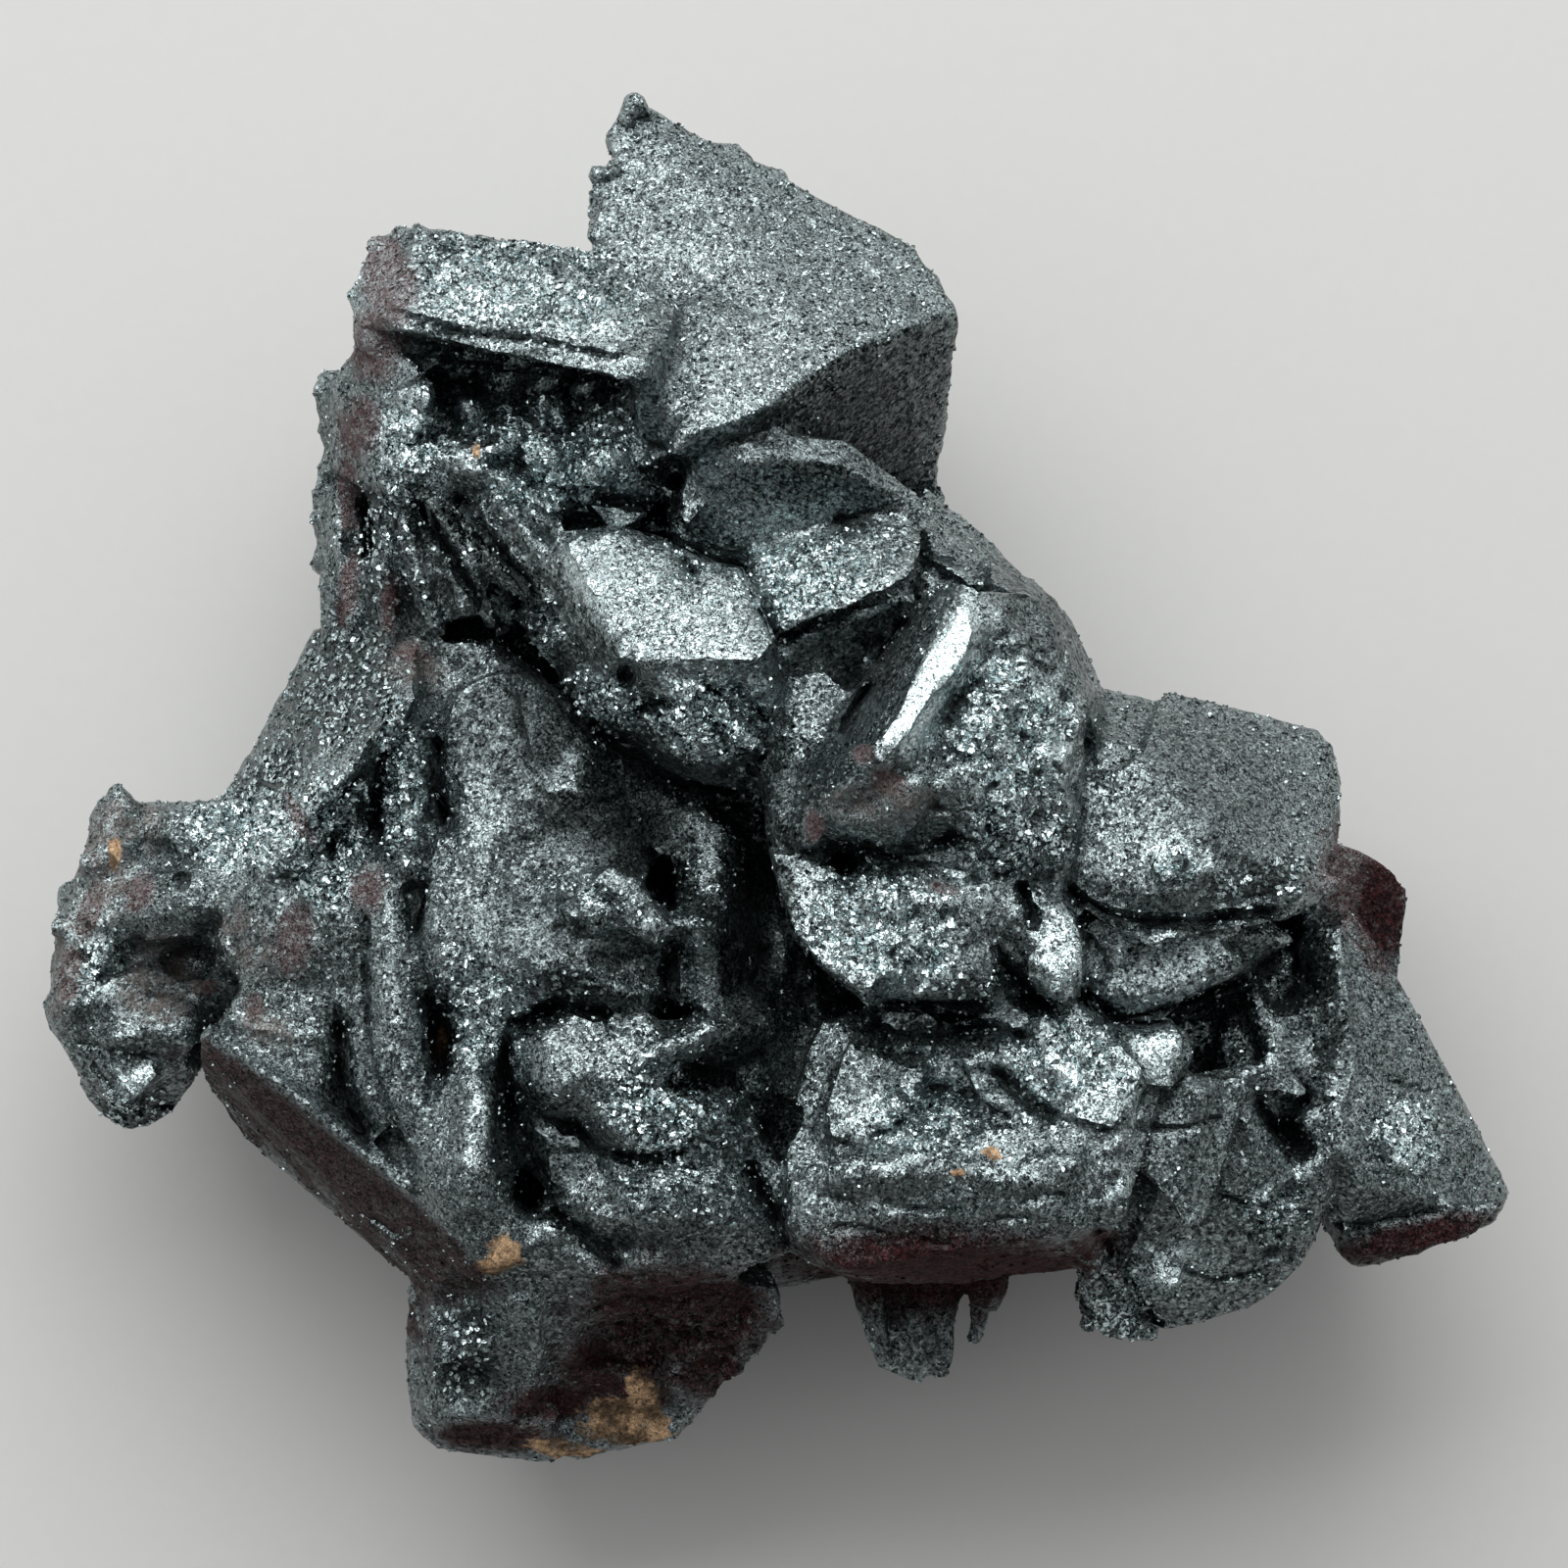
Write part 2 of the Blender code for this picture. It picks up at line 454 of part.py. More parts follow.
def lower_ridge(growths, chance):
    """The bright faces under the break across the central ridge."""
    crystal("lower_ridge_left", [
        (-1.2, -5.2, 47.4), (7.6, -6.6, 49.6), (15.8, -8.0, 50.4), (17.0, -13.0, 50.6),
        (16.8, -16.2, 49.6),
        (15.2, -17.8, 48.4), (6.8, -17.8, 46.6), (2.4, -14.2, 46.4), (0.2, -10.4, 46.6),
        (3.0, -8.0, 22.0), (15.0, -8.0, 22.0), (15.0, -15.0, 24.0), (6.0, -15.0, 24.0),
    ], growths)
    crystal("lower_ridge_right", [
        (17.6, -8.6, 50.0), (22.8, -8.4, 48.0), (24.4, -14.6, 46.8), (24.4, -17.6, 45.4),
        (21.6, -18.2, 45.6),
        (17.6, -13.8, 49.0), (19.0, -9.0, 24.0), (22.0, -16.0, 24.0), (17.0, -14.0, 24.0),
        (22.0, -9.0, 24.0),
    ], growths)
    crystal("lower_ridge_join", rooted([
        (14.6, -7.2, 50.0), (19.4, -7.6, 49.4), (20.0, -12.0, 48.6), (20.4, -16.6, 46.6),
        (15.6, -17.0, 47.8), (14.0, -12.0, 50.0),
    ], 30.0, 0.9), growths)
    lumps = [
        [(1.4, -7.6, 46.8, 1.6), (4.4, -10.4, 47.8, 2.0), (4.0, -14.0, 46.4, 1.8)],
        [(7.4, -8.4, 48.8, 1.8), (9.4, -12.0, 48.8, 2.2), (7.4, -16.0, 46.8, 1.8)],
        [(12.6, -8.8, 49.6, 1.8), (14.6, -12.0, 49.8, 2.0), (12.6, -16.4, 47.6, 1.8),
         (16.4, -17.0, 47.4, 1.6)],
        [(18.4, -9.6, 49.2, 1.6), (20.4, -12.8, 48.2, 2.0), (22.8, -16.0, 45.4, 1.8)],
    ]
    soft_group("lower_ridge_lumps", lumps, [], growths, 3, 2.0)


def right_block(growths, chance):
    """The blocky crystal at the right, with a step in its upper edge."""
    crystal("right_block", [
        (30.8, 7.6, 33.0), (34.4, 6.8, 33.4), (38.4, 5.8, 33.0), (43.6, 4.4, 32.4),
        (44.8, 3.2, 32.6), (45.5, 0.4, 33.6),
        (45.0, -4.8, 36.4), (42.4, -8.2, 41.6), (34.6, -3.4, 44.6), (28.4, 2.2, 43.0),
        (30.4, 4.0, 38.8),
        (32.0, 4.0, 14.0), (41.0, 2.0, 14.0), (41.0, -6.0, 16.0), (30.0, -6.0, 14.0),
    ], growths)
    crystal("right_block_root", rooted([
        (22.0, 6.0, 38.0), (28.0, 3.0, 39.0), (29.0, -6.0, 40.0), (22.0, -9.0, 42.0),
        (20.0, -2.0, 42.0),
    ], 14.0, 0.9), growths)
    crystal("right_block_step", [
        (25.8, 7.8, 30.0), (28.0, 7.4, 29.6), (31.2, 6.6, 30.0), (30.6, 2.6, 38.4),
        (26.4, 0.8, 41.0), (24.4, 2.2, 40.0),
        (26.0, 4.0, 14.0), (30.0, 3.0, 14.0), (30.0, -2.0, 16.0), (25.0, -2.0, 16.0),
    ], growths)
    crystal("right_block_lower", [
        (24.2, 0.0, 43.0), (28.2, 2.0, 43.4), (34.6, -3.6, 45.2), (42.6, -8.4, 42.0),
        (44.8, -7.8, 38.6),
        (40.2, -10.2, 42.6), (34.6, -10.8, 44.2), (29.2, -12.2, 44.6), (27.0, -11.0, 45.6),
        (23.4, -8.6, 45.4),
        (26.0, -2.0, 18.0), (38.0, -4.0, 20.0), (38.0, -8.0, 24.0), (26.0, -9.0, 22.0),
    ], growths)
    ridge("right_block_rim", [
        (23.8, -9.0, 44.8, 0.9), (27.2, -11.2, 45.4, 1.0), (29.4, -12.2, 44.4, 1.0),
        (34.6, -10.8, 44.0, 1.0),
        (40.2, -10.2, 42.2, 0.9), (44.6, -8.0, 38.8, 0.9),
    ], growths)
    # The smooth dark face under the block.
    crystal("under_face", [
        (23.6, -9.6, 43.0), (29.2, -12.4, 43.2), (34.6, -11.4, 42.6), (41.6, -12.4, 38.6),
        (41.4, -14.2, 36.6),
        (36.8, -16.9, 36.4), (30.4, -19.1, 37.4), (27.6, -19.3, 38.0), (24.4, -16.8, 40.4),
        (26.0, -10.0, 20.0), (38.0, -10.0, 20.0), (37.0, -14.0, 22.0), (27.0, -16.0, 22.0),
    ], growths)
    crystal("back_right", rooted([
        (44.0, -4.0, 24.0), (47.2, -5.4, 25.0), (49.6, -6.8, 25.0), (51.4, -8.6, 24.0),
        (50.6, -16.4, 23.0), (46.0, -18.0, 24.0),
        (42.0, -10.0, 26.0),
    ], 8.0, 0.7, (-4.0, 0.0)), growths)


def right_point(growths, chance):
    """The pointed crystal at the far right."""
    crystal("right_point", [
        (46.0, -9.8, 27.0), (47.6, -11.6, 27.4), (49.6, -15.2, 28.4), (51.6, -18.2, 28.6),
        (56.8, -29.2, 26.6),
        (60.0, -34.0, 23.6), (54.0, -34.6, 29.6), (46.6, -32.2, 35.6), (44.2, -28.0, 36.8),
        (45.2, -24.0, 35.8),
        (45.0, -16.0, 31.0),
        (45.6, -38.8, 27.0), (47.0, -39.8, 25.0), (52.0, -38.8, 23.0), (59.0, -36.2, 20.6),
        (46.0, -16.0, 10.0), (50.0, -28.0, 9.0), (42.0, -32.0, 9.0), (42.0, -18.0, 9.0),
    ], growths)
    crystal("right_point_flank", rooted([
        (41.6, -13.0, 29.0), (45.4, -11.4, 29.4), (46.2, -18.0, 33.0), (46.4, -24.0, 35.8),
        (44.8, -28.0, 37.4),
        (42.4, -24.6, 33.6), (42.2, -18.0, 30.6),
    ], 14.0, 0.8), growths)
    crystal("notch_floor", rooted([
        (36.0, -18.0, 28.0), (44.0, -14.0, 26.6), (46.0, -30.0, 32.6), (40.0, -38.0, 31.0),
        (34.0, -34.0, 33.0),
    ], 10.0, 0.9), growths)
    ridge("notch_rib_a", [
        (38.6, -16.4, 30.0, 1.8), (40.6, -22.4, 31.6, 1.8), (40.0, -27.0, 31.0, 1.8),
    ], growths)
    ridge("notch_rib_b", [
        (43.2, -27.6, 34.6, 1.8), (42.6, -33.0, 33.4, 2.2), (40.8, -37.6, 31.0, 2.2),
    ], growths)


def lower_right(growths, chance):
    """The dark wedge and the bright patch between the bottom slab and the pointed crystal."""
    crystal("lower_right_wedge", [
        (29.2, -24.4, 42.6), (33.0, -23.4, 42.4), (37.6, -23.2, 40.4), (39.2, -22.2, 38.0),
        (37.4, -26.4, 39.4),
        (36.4, -33.0, 38.6), (42.2, -36.4, 33.6), (41.0, -40.6, 30.6), (38.2, -43.0, 29.0),
        (31.2, -44.8, 29.4), (26.0, -42.4, 32.0),
        (25.0, -36.4, 38.4), (27.4, -34.0, 40.8),
        (30.0, -26.0, 12.0), (38.0, -28.0, 12.0), (36.0, -37.0, 10.0), (28.0, -39.0, 11.0),
    ], growths)
    crystal("bright_patch", rooted([
        (26.8, -19.6, 43.4), (32.4, -19.6, 42.0), (33.0, -22.0, 43.8), (31.0, -24.6, 45.6),
        (28.0, -24.0, 45.8),
    ], 30.0, 0.8), growths)
    crystal("wedge_tip", rooted([
        (24.4, -40.6, 26.0), (30.0, -42.0, 26.0), (31.2, -45.0, 22.4), (29.6, -46.4, 21.0),
        (24.4, -43.4, 22.0),
    ], 12.0, 0.7, (0.0, 4.0)), growths)
    knobs("wedge_tip_knob", (24.6, -43.4, 23.0), (30.8, -45.6, 22.0),
          6, KNOB_SIZE * 0.9, 0.5, growths, chance)
    crystal("wedge_rib", [
        (34.6, -24.0, 43.4), (33.0, -23.8, 43.2), (31.0, -31.0, 42.8), (33.4, -31.6, 42.6),
        (27.6, -38.0, 39.8), (29.6, -38.4, 39.0),
        (33.0, -30.0, 34.0), (29.0, -36.0, 34.0),
    ], growths)


def bottom_slab(growths, chance):
    """The slab at the bottom middle, with a red-brown underside."""
    crystal("bottom_slab", [
        (0.0, -29.6, 42.0), (3.0, -24.0, 41.6), (8.0, -20.8, 41.6), (14.4, -18.8, 41.8),
        (27.6, -18.6, 41.4),
        (31.4, -21.4, 42.0), (28.6, -25.0, 44.4), (27.4, -34.4, 47.0), (24.8, -35.6, 47.0),
        (12.8, -37.6, 46.2),
        (4.8, -39.0, 44.8), (0.2, -35.8, 43.6),
        (24.6, -39.2, 37.0), (14.0, -40.6, 36.4), (5.6, -40.4, 36.6), (1.2, -38.4, 38.0),
        (3.0, -29.0, 18.0), (26.0, -24.0, 18.0), (24.0, -35.0, 22.0), (6.0, -36.0, 22.0),
    ], growths)
    layered_edge("bottom_ledge", (3.8, -38.6, 44.4), (25.4, -35.4, 46.6), (-0.1, 1.0, 0.0),
                 growths, chance,
                 layers=3, pieces=4, drop=1.3, width=3.0)
    crystal("slab_upper_left", rooted([
        (0.8, -25.6, 41.4), (2.4, -19.6, 40.6), (8.0, -17.6, 42.0), (12.6, -18.8, 43.6),
        (10.8, -25.6, 45.4), (4.0, -29.4, 44.6),
    ], 30.0, 0.95), growths)
    crystal("slab_upper_right", rooted([
        (13.4, -19.6, 44.4), (17.6, -17.6, 43.8), (25.2, -17.8, 43.6), (27.0, -20.6, 44.2),
        (26.4, -24.4, 45.2), (20.2, -27.0, 47.2),
        (15.6, -25.4, 46.8),
    ], 30.0, 0.9), growths)
    crystal("slab_lower_band", rooted([
        (0.6, -31.0, 42.8), (8.6, -28.2, 45.8), (15.0, -28.4, 47.0), (27.4, -26.2, 45.8),
        (27.6, -34.4, 47.2), (24.8, -35.7, 47.3),
        (12.8, -37.7, 46.5), (4.8, -39.1, 45.1), (0.3, -35.9, 43.8),
    ], 30.0, 0.97), growths)
    lumps = [
        [(5.0, -31.6, 45.4, 1.8), (11.0, -31.0, 46.4, 2.0), (17.0, -31.8, 47.0, 2.0),
         (23.0, -30.6, 47.0, 1.8)],
        [(7.0, -34.6, 45.4, 1.6), (15.0, -34.2, 46.6, 1.6), (22.0, -33.6, 46.8, 1.6)],
        [(5.6, -24.6, 43.6, 1.8), (7.6, -22.4, 43.6, 1.6)],
    ]
    soft_group("slab_lumps", lumps, [], growths, 3, 2.0)
    # Teeth that hang below the slab, far behind its face.
    teeth = (
        (7.6, -41.0, 16.0, 6.6), (10.4, -42.6, 15.0, 6.4), (12.4, -40.6, 17.0, 8.0),
        (16.6, -40.4, 17.0, 2.8), (6.4, -38.0, 20.0, 3.0),
    )
    for number, (x, y, z, length) in enumerate(teeth):
        ridge(f"tooth_{number}", [
            (x, y + 7.0, z + 2.0, 3.0), (x, y, z, 2.3), (x + 0.6, y - length, z - 3.0, 1.2),
        ], growths)


def dark_cone(growths, chance):
    """The smooth dark crystal under the bright one."""
    crystal("cone_collar", rooted([
        (-31.0, 11.4, 36.0), (-24.0, 12.0, 37.0), (-19.6, 9.0, 37.6), (-25.0, 4.0, 36.4),
        (-29.6, 5.0, 36.0),
    ], 14.0, 0.9), growths)
    crystal("dark_cone", [
        (-23.4, 11.0, 37.6), (-27.6, 6.4, 37.4), (-28.2, 0.4, 37.6), (-27.0, -3.6, 38.6),
        (-21.0, -1.6, 42.0),
        (-15.8, -2.0, 43.0), (-10.4, -7.0, 40.4), (-5.6, -6.0, 37.0), (-4.0, -2.0, 35.6),
        (-15.4, 4.4, 40.8), (-20.4, 9.0, 39.4),
        (-22.0, 6.0, 20.0), (-8.0, 0.0, 20.0), (-8.0, -8.0, 20.0), (-24.0, -4.0, 20.0),
    ], growths)


def melted_centre(growths, chance):
    """The rounded, melted-looking ridges left of the middle, with holes and a curved crack."""
    floor = rooted([
        (-28.0, 2.0, 35.0), (-4.0, -3.0, 33.0), (-3.0, -22.0, 36.0), (-1.0, -38.0, 36.0),
        (-22.0, -40.0, 34.0),
        (-29.0, -30.0, 34.0), (-29.0, -12.0, 34.0),
    ], 18.0, 0.95)
    slope = rooted([
        (-5.0, -4.0, 36.4), (-1.6, -5.6, 33.0), (2.0, -12.0, 31.6), (3.6, -18.6, 31.6),
        (3.0, -26.0, 33.0),
        (-3.0, -26.0, 37.6), (-5.4, -16.0, 39.4),
    ], 20.0, 0.9)
    upper = [
        [(-20.4, -2.6, 38.4, 3.4), (-20.0, -8.6, 38.4, 3.4)],
        [(-15.4, -4.6, 38.8, 3.6), (-15.4, -8.0, 39.4, 3.0), (-12.4, -7.4, 39.0, 2.6)],
        [(-24.2, 0.0, 37.6, 3.0), (-24.6, -5.0, 38.6, 3.6), (-25.0, -11.0, 38.8, 4.6)],
        [(-25.6, -14.0, 38.4, 4.8), (-21.0, -15.2, 40.2, 5.0), (-16.0, -15.6, 41.0, 4.8),
         (-11.4, -14.6, 40.6, 3.6)],
        [(-17.5, -10.8, 40.6, 3.4), (-13.6, -9.6, 43.0, 2.8), (-10.4, -11.0, 42.8, 2.2),
         (-6.6, -12.0, 41.2, 1.8)],
        [(-21.4, -11.8, 41.8, 2.2), (-14.5, -11.6, 43.2, 2.0), (-8.0, -12.0, 42.0, 1.8)],
        [(-6.4, -3.0, 36.0, 2.8), (-5.8, -9.0, 37.6, 3.0), (-5.6, -15.0, 38.4, 3.2),
         (-5.4, -20.0, 38.6, 3.4)],
    ]
    lower = [
        [(-20.4, -21.6, 38.6, 3.8), (-17.0, -23.4, 40.2, 4.8), (-13.4, -23.0, 41.0, 4.0)],
        [(-14.5, -22.4, 42.6, 2.4), (-9.0, -20.8, 42.4, 2.0), (-4.4, -19.8, 41.2, 1.8),
         (-1.4, -19.4, 39.6, 1.8)],
        [(-13.0, -25.0, 42.0, 3.2), (-11.6, -29.0, 42.0, 3.6), (-8.0, -28.6, 41.0, 3.2),
         (-4.6, -27.0, 39.8, 2.8)],
        [(-25.2, -20.4, 37.4, 3.0), (-26.2, -25.0, 38.2, 4.0), (-25.8, -31.0, 38.0, 4.8),
         (-23.6, -36.4, 36.6, 4.6)],
        [(-15.6, -33.6, 38.2, 3.8), (-12.4, -35.0, 39.2, 3.4), (-8.6, -34.0, 39.2, 3.8),
         (-4.0, -34.4, 38.6, 3.6)],
        [(-19.6, -37.0, 36.6, 3.0), (-13.0, -38.4, 37.4, 2.8), (-5.0, -38.0, 37.4, 2.8)],
        [(-3.6, -30.0, 38.8, 3.2), (-1.6, -35.8, 38.0, 3.2)],
    ]
    soft_group("melted_centre", upper + lower, [floor, slope], growths, 6)
    crystal("dark_facet", rooted([
        (-21.0, -25.4, 39.6), (-15.2, -26.4, 41.6), (-12.2, -30.6, 42.0), (-15.4, -33.6, 38.0),
        (-21.4, -34.0, 36.4),
        (-22.4, -29.6, 37.0),
    ], 24.0, 0.85), growths)
    crystal("small_bright_patch", rooted([
        (-12.6, -26.6, 44.0), (-8.0, -27.0, 43.8), (-8.2, -30.4, 44.4), (-12.0, -30.8, 44.2),
    ], 34.0, 0.8), growths)
    crystal("lower_facet", rooted([
        (-14.6, -36.0, 40.6), (-10.4, -36.0, 42.0), (-3.4, -36.0, 41.0), (-1.0, -38.6, 39.4),
        (-6.0, -39.6, 39.4), (-13.0, -40.0, 39.0),
    ], 24.0, 0.85), growths)
    crystal("left_wedge_facet", rooted([
        (-16.4, -34.6, 39.8), (-14.4, -39.6, 38.6), (-20.4, -39.4, 37.0), (-19.6, -35.6, 38.6),
    ], 24.0, 0.85), growths)


def left_ridge(growths, chance):
    """The thin striated ridge, its rough left slope and the deep upright folds at its right."""
    crystal("left_slope", [
        (-38.4, 13.0, 26.0), (-40.0, 9.2, 23.0), (-42.4, 3.2, 20.0), (-44.4, 0.0, 19.0),
        (-46.4, -1.6, 21.0), (-47.6, -8.0, 25.0),
        (-44.6, -10.0, 33.0), (-40.0, -4.6, 38.0), (-36.0, 0.8, 41.0), (-32.0, 5.8, 42.0),
        (-29.4, 8.4, 41.6), (-30.0, 11.4, 37.0),
        (-34.0, 8.0, 6.0), (-38.0, -2.0, 5.0), (-32.0, -8.0, 5.0), (-28.0, 4.0, 6.0),
        (-34.0, -4.0, 30.0), (-29.0, 4.0, 32.0),
    ], growths)
    crystal("ridge_blade", [
        (-28.6, 8.0, 44.0), (-32.0, 5.4, 45.6), (-36.4, 0.2, 45.2), (-40.4, -5.4, 42.6),
        (-42.4, -8.0, 39.6),
        (-31.6, 3.6, 44.2), (-35.6, -1.6, 43.6), (-39.2, -6.6, 41.0),
        (-31.0, 4.0, 32.0), (-36.0, 0.0, 32.0), (-40.0, -6.0, 30.0), (-36.0, -4.0, 30.0),
    ], growths)
    crystal("ridge_second_blade", [
        (-30.0, 6.6, 41.6), (-31.8, 2.6, 42.2), (-35.2, -3.0, 41.6), (-36.0, -2.0, 42.0),
        (-31.4, 5.6, 42.6),
        (-31.0, 2.0, 32.0), (-34.0, -2.0, 32.0), (-32.0, 4.0, 32.0),
    ], growths)
    crystal("brown_side", rooted([
        (-40.6, -6.0, 39.4), (-36.0, -6.2, 40.2), (-35.2, -12.6, 39.4), (-37.2, -18.0, 37.0),
        (-43.6, -16.4, 36.0),
        (-46.4, -13.4, 34.4), (-44.6, -9.6, 36.6),
    ], 12.0, 0.9), growths)
    crystal("brown_foot", rooted([
        (-43.4, -15.4, 36.2), (-37.4, -16.4, 37.4), (-35.6, -23.4, 37.4), (-38.6, -25.2, 37.4),
        (-42.4, -22.6, 36.4),
        (-46.0, -19.4, 34.6),
    ], 12.0, 0.9), growths)
    crystal("rim_floor", rooted([
        (-46.0, -19.6, 35.0), (-38.0, -21.0, 36.4), (-33.0, -25.0, 36.4), (-29.0, -31.6, 36.6),
        (-35.6, -28.0, 37.2), (-41.0, -24.0, 36.6),
    ], 12.0, 0.9), growths)
    floor = rooted([
        (-31.0, 7.0, 34.0), (-27.6, 6.0, 33.0), (-27.6, -26.0, 33.0), (-33.0, -29.0, 34.0),
        (-37.0, -24.0, 33.0), (-37.0, -4.0, 33.0),
    ], 10.0, 0.95)
    folds = [
        [(-34.0, -3.6, 36.4, 2.0), (-34.2, -9.0, 37.4, 3.0), (-34.8, -15.0, 36.6, 2.6)],
        [(-31.0, 4.6, 38.4, 1.8), (-31.6, -2.0, 38.0, 2.0), (-32.0, -8.0, 36.0, 2.0)],
        [(-31.6, -10.0, 34.6, 2.4), (-32.2, -17.0, 35.2, 2.4), (-32.8, -24.0, 35.4, 2.4)],
        [(-29.4, -6.0, 33.8, 1.9), (-29.6, -13.0, 34.8, 2.2), (-30.4, -22.0, 35.6, 2.2),
         (-30.2, -28.4, 36.0, 2.8)],
        [(-35.4, -18.0, 35.2, 2.2), (-35.0, -25.0, 35.4, 2.2)],
        [(-29.4, 5.0, 36.0, 1.8), (-29.0, -2.0, 34.4, 1.8)],
    ]
    soft_group("ridge_folds", folds, [floor], growths, 4)


def left_lobe(growths, chance):
    """The brown lobe at the far left, with a hollow in its face."""
    base = [
        (-57.0, -3.0, 22.0), (-55.2, -1.2, 21.0), (-52.8, -1.2, 21.0), (-47.0, -1.6, 22.0),
        (-44.0, -4.0, 28.0),
        (-44.0, -12.0, 30.0), (-50.0, -12.0, 24.0), (-57.0, -8.0, 24.0), (-59.0, -11.0, 21.0),
        (-58.6, -17.0, 22.0),
        (-50.0, -20.0, 22.0), (-46.0, -18.0, 26.0), (-52.0, -5.0, 10.0), (-44.0, -4.0, 8.0),
        (-44.0, -18.0, 8.0),
        (-54.0, -14.0, 10.0),
    ]
    rims = [
        [(-54.6, -3.4, 24.0, 2.8), (-55.6, -7.4, 24.6, 2.8), (-57.2, -11.2, 23.6, 2.6),
         (-57.6, -15.4, 23.6, 2.6),
         (-58.2, -18.6, 23.6, 2.8), (-56.2, -22.2, 24.0, 2.6), (-53.8, -24.6, 24.0, 2.8)],
        [(-54.4, -10.6, 26.4, 2.6), (-51.0, -10.0, 28.4, 2.6), (-47.4, -9.2, 30.6, 2.8)],
        [(-56.4, -17.0, 25.0, 2.4), (-53.0, -18.6, 26.2, 2.6), (-49.4, -20.0, 27.0, 2.4)],
        [(-50.6, -3.6, 24.0, 2.4), (-46.0, -4.0, 27.0, 2.6)],
    ]
    soft_group("left_lobe", rims, [base], growths, 3, 1.6)
    crystal("lobe_facet", rooted([
        (-57.4, -22.4, 26.0), (-52.8, -20.6, 28.4), (-49.2, -21.6, 27.6), (-48.6, -24.6, 23.6),
        (-51.0, -27.6, 20.0),
        (-53.8, -28.8, 19.0), (-56.8, -27.2, 20.4), (-58.4, -24.6, 22.0),
    ], 12.0, 0.7, (2.0, 2.0)), growths)
    crystal("lobe_neck", rooted([
        (-51.0, -11.0, 19.0), (-42.0, -10.0, 22.0), (-41.0, -23.0, 22.0), (-47.4, -23.0, 19.0),
        (-51.0, -18.0, 17.0),
    ], 8.0, 0.9), growths)
    crystal("lobe_side", rooted([
        (-50.0, -2.2, 25.0), (-45.2, -1.4, 24.0), (-42.0, -6.0, 33.0), (-45.0, -11.0, 35.0),
        (-49.0, -9.0, 30.0),
    ], 10.0, 0.8), growths)
    knobs("lobe_knob", (-59.0, -8.0, 22.0), (-60.0, -19.0, 21.6),
          6, KNOB_SIZE * 0.85, 0.4, growths, chance)


def dark_plate(growths, chance):
    """The flat brown plate that faces down and left, with its bright upper rim."""
    crystal("dark_plate", [
        (-47.8, -21.4, 35.0), (-46.2, -19.8, 36.0), (-40.0, -24.8, 38.0), (-35.2, -28.4, 38.8),
        (-29.6, -32.8, 38.4),
        (-25.8, -39.0, 36.0), (-26.4, -42.6, 33.0),
        (-31.2, -40.4, 24.0), (-32.8, -38.2, 22.6), (-37.6, -34.6, 20.6), (-40.8, -32.2, 20.0),
        (-44.6, -29.0, 20.6),
        (-47.6, -24.6, 22.6),
        (-40.0, -20.0, 8.0), (-30.0, -28.0, 8.0), (-28.0, -36.0, 9.0), (-36.0, -30.0, 8.0),
    ], growths)
    ridge("plate_rim", [
        (-46.8, -20.4, 35.2, 0.9), (-40.0, -24.8, 37.8, 0.9), (-35.2, -28.4, 38.6, 0.9),
        (-29.8, -32.8, 38.4, 0.9),
    ], growths)


